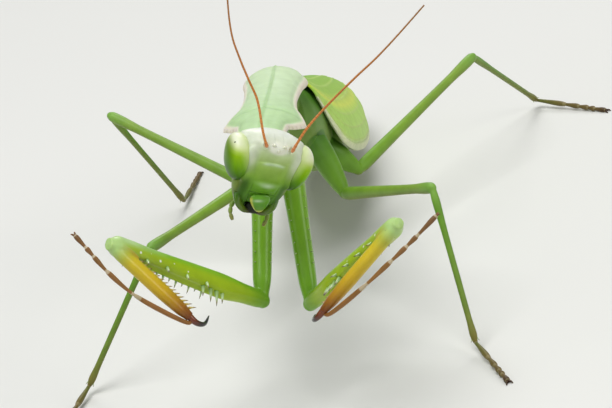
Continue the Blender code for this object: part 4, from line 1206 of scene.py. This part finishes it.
def make_walking_leg(name):
    pair, side = name.split("_")
    hip, knee, ankle, toe = map(Vector, WALK[name])
    limbs = (
        (walking_root(name), hip, WALK_COXA_RADII, TAILWARD), (hip, knee, WALK_FEMUR_RADII, UPWARD),
        (knee, ankle, WALK_TIBIA_RADII, TAILWARD),
    )
    for start, end, table, up in limbs:
        table = [(share, radius, radius, radius) for share, radius in table]
        BODY_SHAPES.append(limb_mesh(table, start, end, up, 90, 36))
    for centre, radius in ((hip, HIP_BALL), (knee, KNEE_BALL)):
        BODY_SHAPES.append(sphere_mesh((radius, radius, radius), 32, 20, Matrix.Translation(centre)))
    BODY_NODES.extend((pair + "_coxa_" + side, pair + "_femur_" + side, pair + "_tibia_" + side))
    tibia_at = axes(knee, ankle - knee, TAILWARD)
    make_spines("spurs_" + name, SPURS, 1, (ankle - knee).length, tibia_at, SPINE_CHITIN)
    path = [ankle.lerp(toe, TARSUS_REACH * k / 159) for k in range(160)]
    make_foot(pair + "_foot_" + side, path, FOOT_RADIUS, FOOT_CHITIN, pair + "_tarsus_" + side)


# ======== floor, light, camera
FLOOR_REACH, FLOOR_DROP = 3, 0.00002  # metres
LAMPS = (  # name, place in metres, size, power, colour
    ("sky", (-0.08, -0.12, 0.6), 0.5, 3.1, (1, 1, 1)),
    ("left_fill", (-0.45, -0.3, 0.3), 0.4, 0.35, (0.95, 0.98, 1)),
    ("right_window", (0.5, -0.3, 0.28), 0.3, 0.95, (1, 0.98, 0.95)),
    ("rim", (0.1, 0.5, 0.4), 0.25, 1, (1, 1, 1)),
)
LIT_POINT = Vector((0, 0, 0.02))
WORLD_COLOUR, WORLD_STRENGTH = (0.86, 0.88, 0.9, 1), 0.22
PITCH = math.radians(21.1)  # how far the camera looks down
ROLL = math.radians(-14.3)
HEAD_DISTANCE = 270
HEAD_OFFSET = (3.727, -3.545)  # from the head to the middle of the view, to the right and up
TARGET = Vector((0, 0, 24))
LENS = 174.7
CLIP = (0.01, 20)


def make_stage():
    mesh = bpy.data.meshes.new("floor")
    corners = [(x * FLOOR_REACH, y * FLOOR_REACH, 0) for x, y in ((-1, -1), (1, -1), (1, 1), (-1, 1))]
    mesh.from_pydata(corners, [], [(0, 1, 2, 3)])
    paper = given(bpy.data.materials.new("floor_paper"), use_nodes=True)
    tree = paper.node_tree
    put(tree, tree.nodes["Principled BSDF"], {"Base Color": (0.74, 0.74, 0.71, 1), "Roughness": 0.9})
    mesh.materials.append(paper)
    floor = added("floor", mesh)
    floor.location.z = -FLOOR_DROP


def make_lights():
    for name, place, size, power, colour in LAMPS:
        data = given(bpy.data.lights.new(name, "AREA"), shape="DISK", size=size, energy=power, color=colour)
        turn = (LIT_POINT - Vector(place)).to_track_quat("-Z", "Y")
        given(added(name, data), location=place, rotation_mode="QUATERNION", rotation_quaternion=turn)
    world = given(bpy.data.worlds.new("studio"), use_nodes=True)
    tree = world.node_tree
    put(tree, tree.nodes["Background"], {"Color": WORLD_COLOUR, "Strength": WORLD_STRENGTH})
    bpy.context.scene.world = world
    bpy.context.scene.view_settings.view_transform = "Standard"


def make_camera():
    ahead = Vector((0, math.cos(PITCH), -math.sin(PITCH)))
    level = Vector((1, 0, 0))
    over = level.cross(ahead)
    right = level * math.cos(ROLL) + over * math.sin(ROLL)
    up = over * math.cos(ROLL) - level * math.sin(ROLL)
    place = TARGET + right * HEAD_OFFSET[0] + up * HEAD_OFFSET[1] - ahead * HEAD_DISTANCE
    data = given(bpy.data.cameras.new("camera"), lens=LENS, clip_start=CLIP[0], clip_end=CLIP[1])
    camera = added("camera", data)
    camera.matrix_world = placed((place - FLOOR_CENTRE) * MM, right, up, -ahead)
    bpy.context.scene.camera = camera


# ======== the whole animal
make_camera()
make_stage()
make_lights()
make_head()
make_eyes()
make_mouth()
make_antennae()
make_shield()
make_trunk()
make_wings()
leg_finishes = [make_grasping_leg(side, sign) for side, sign in SIDES]
for name in WALK:
    make_walking_leg(name)
make_body_skin((TRUNK_CHITIN, *leg_finishes, WALKING_CHITIN))
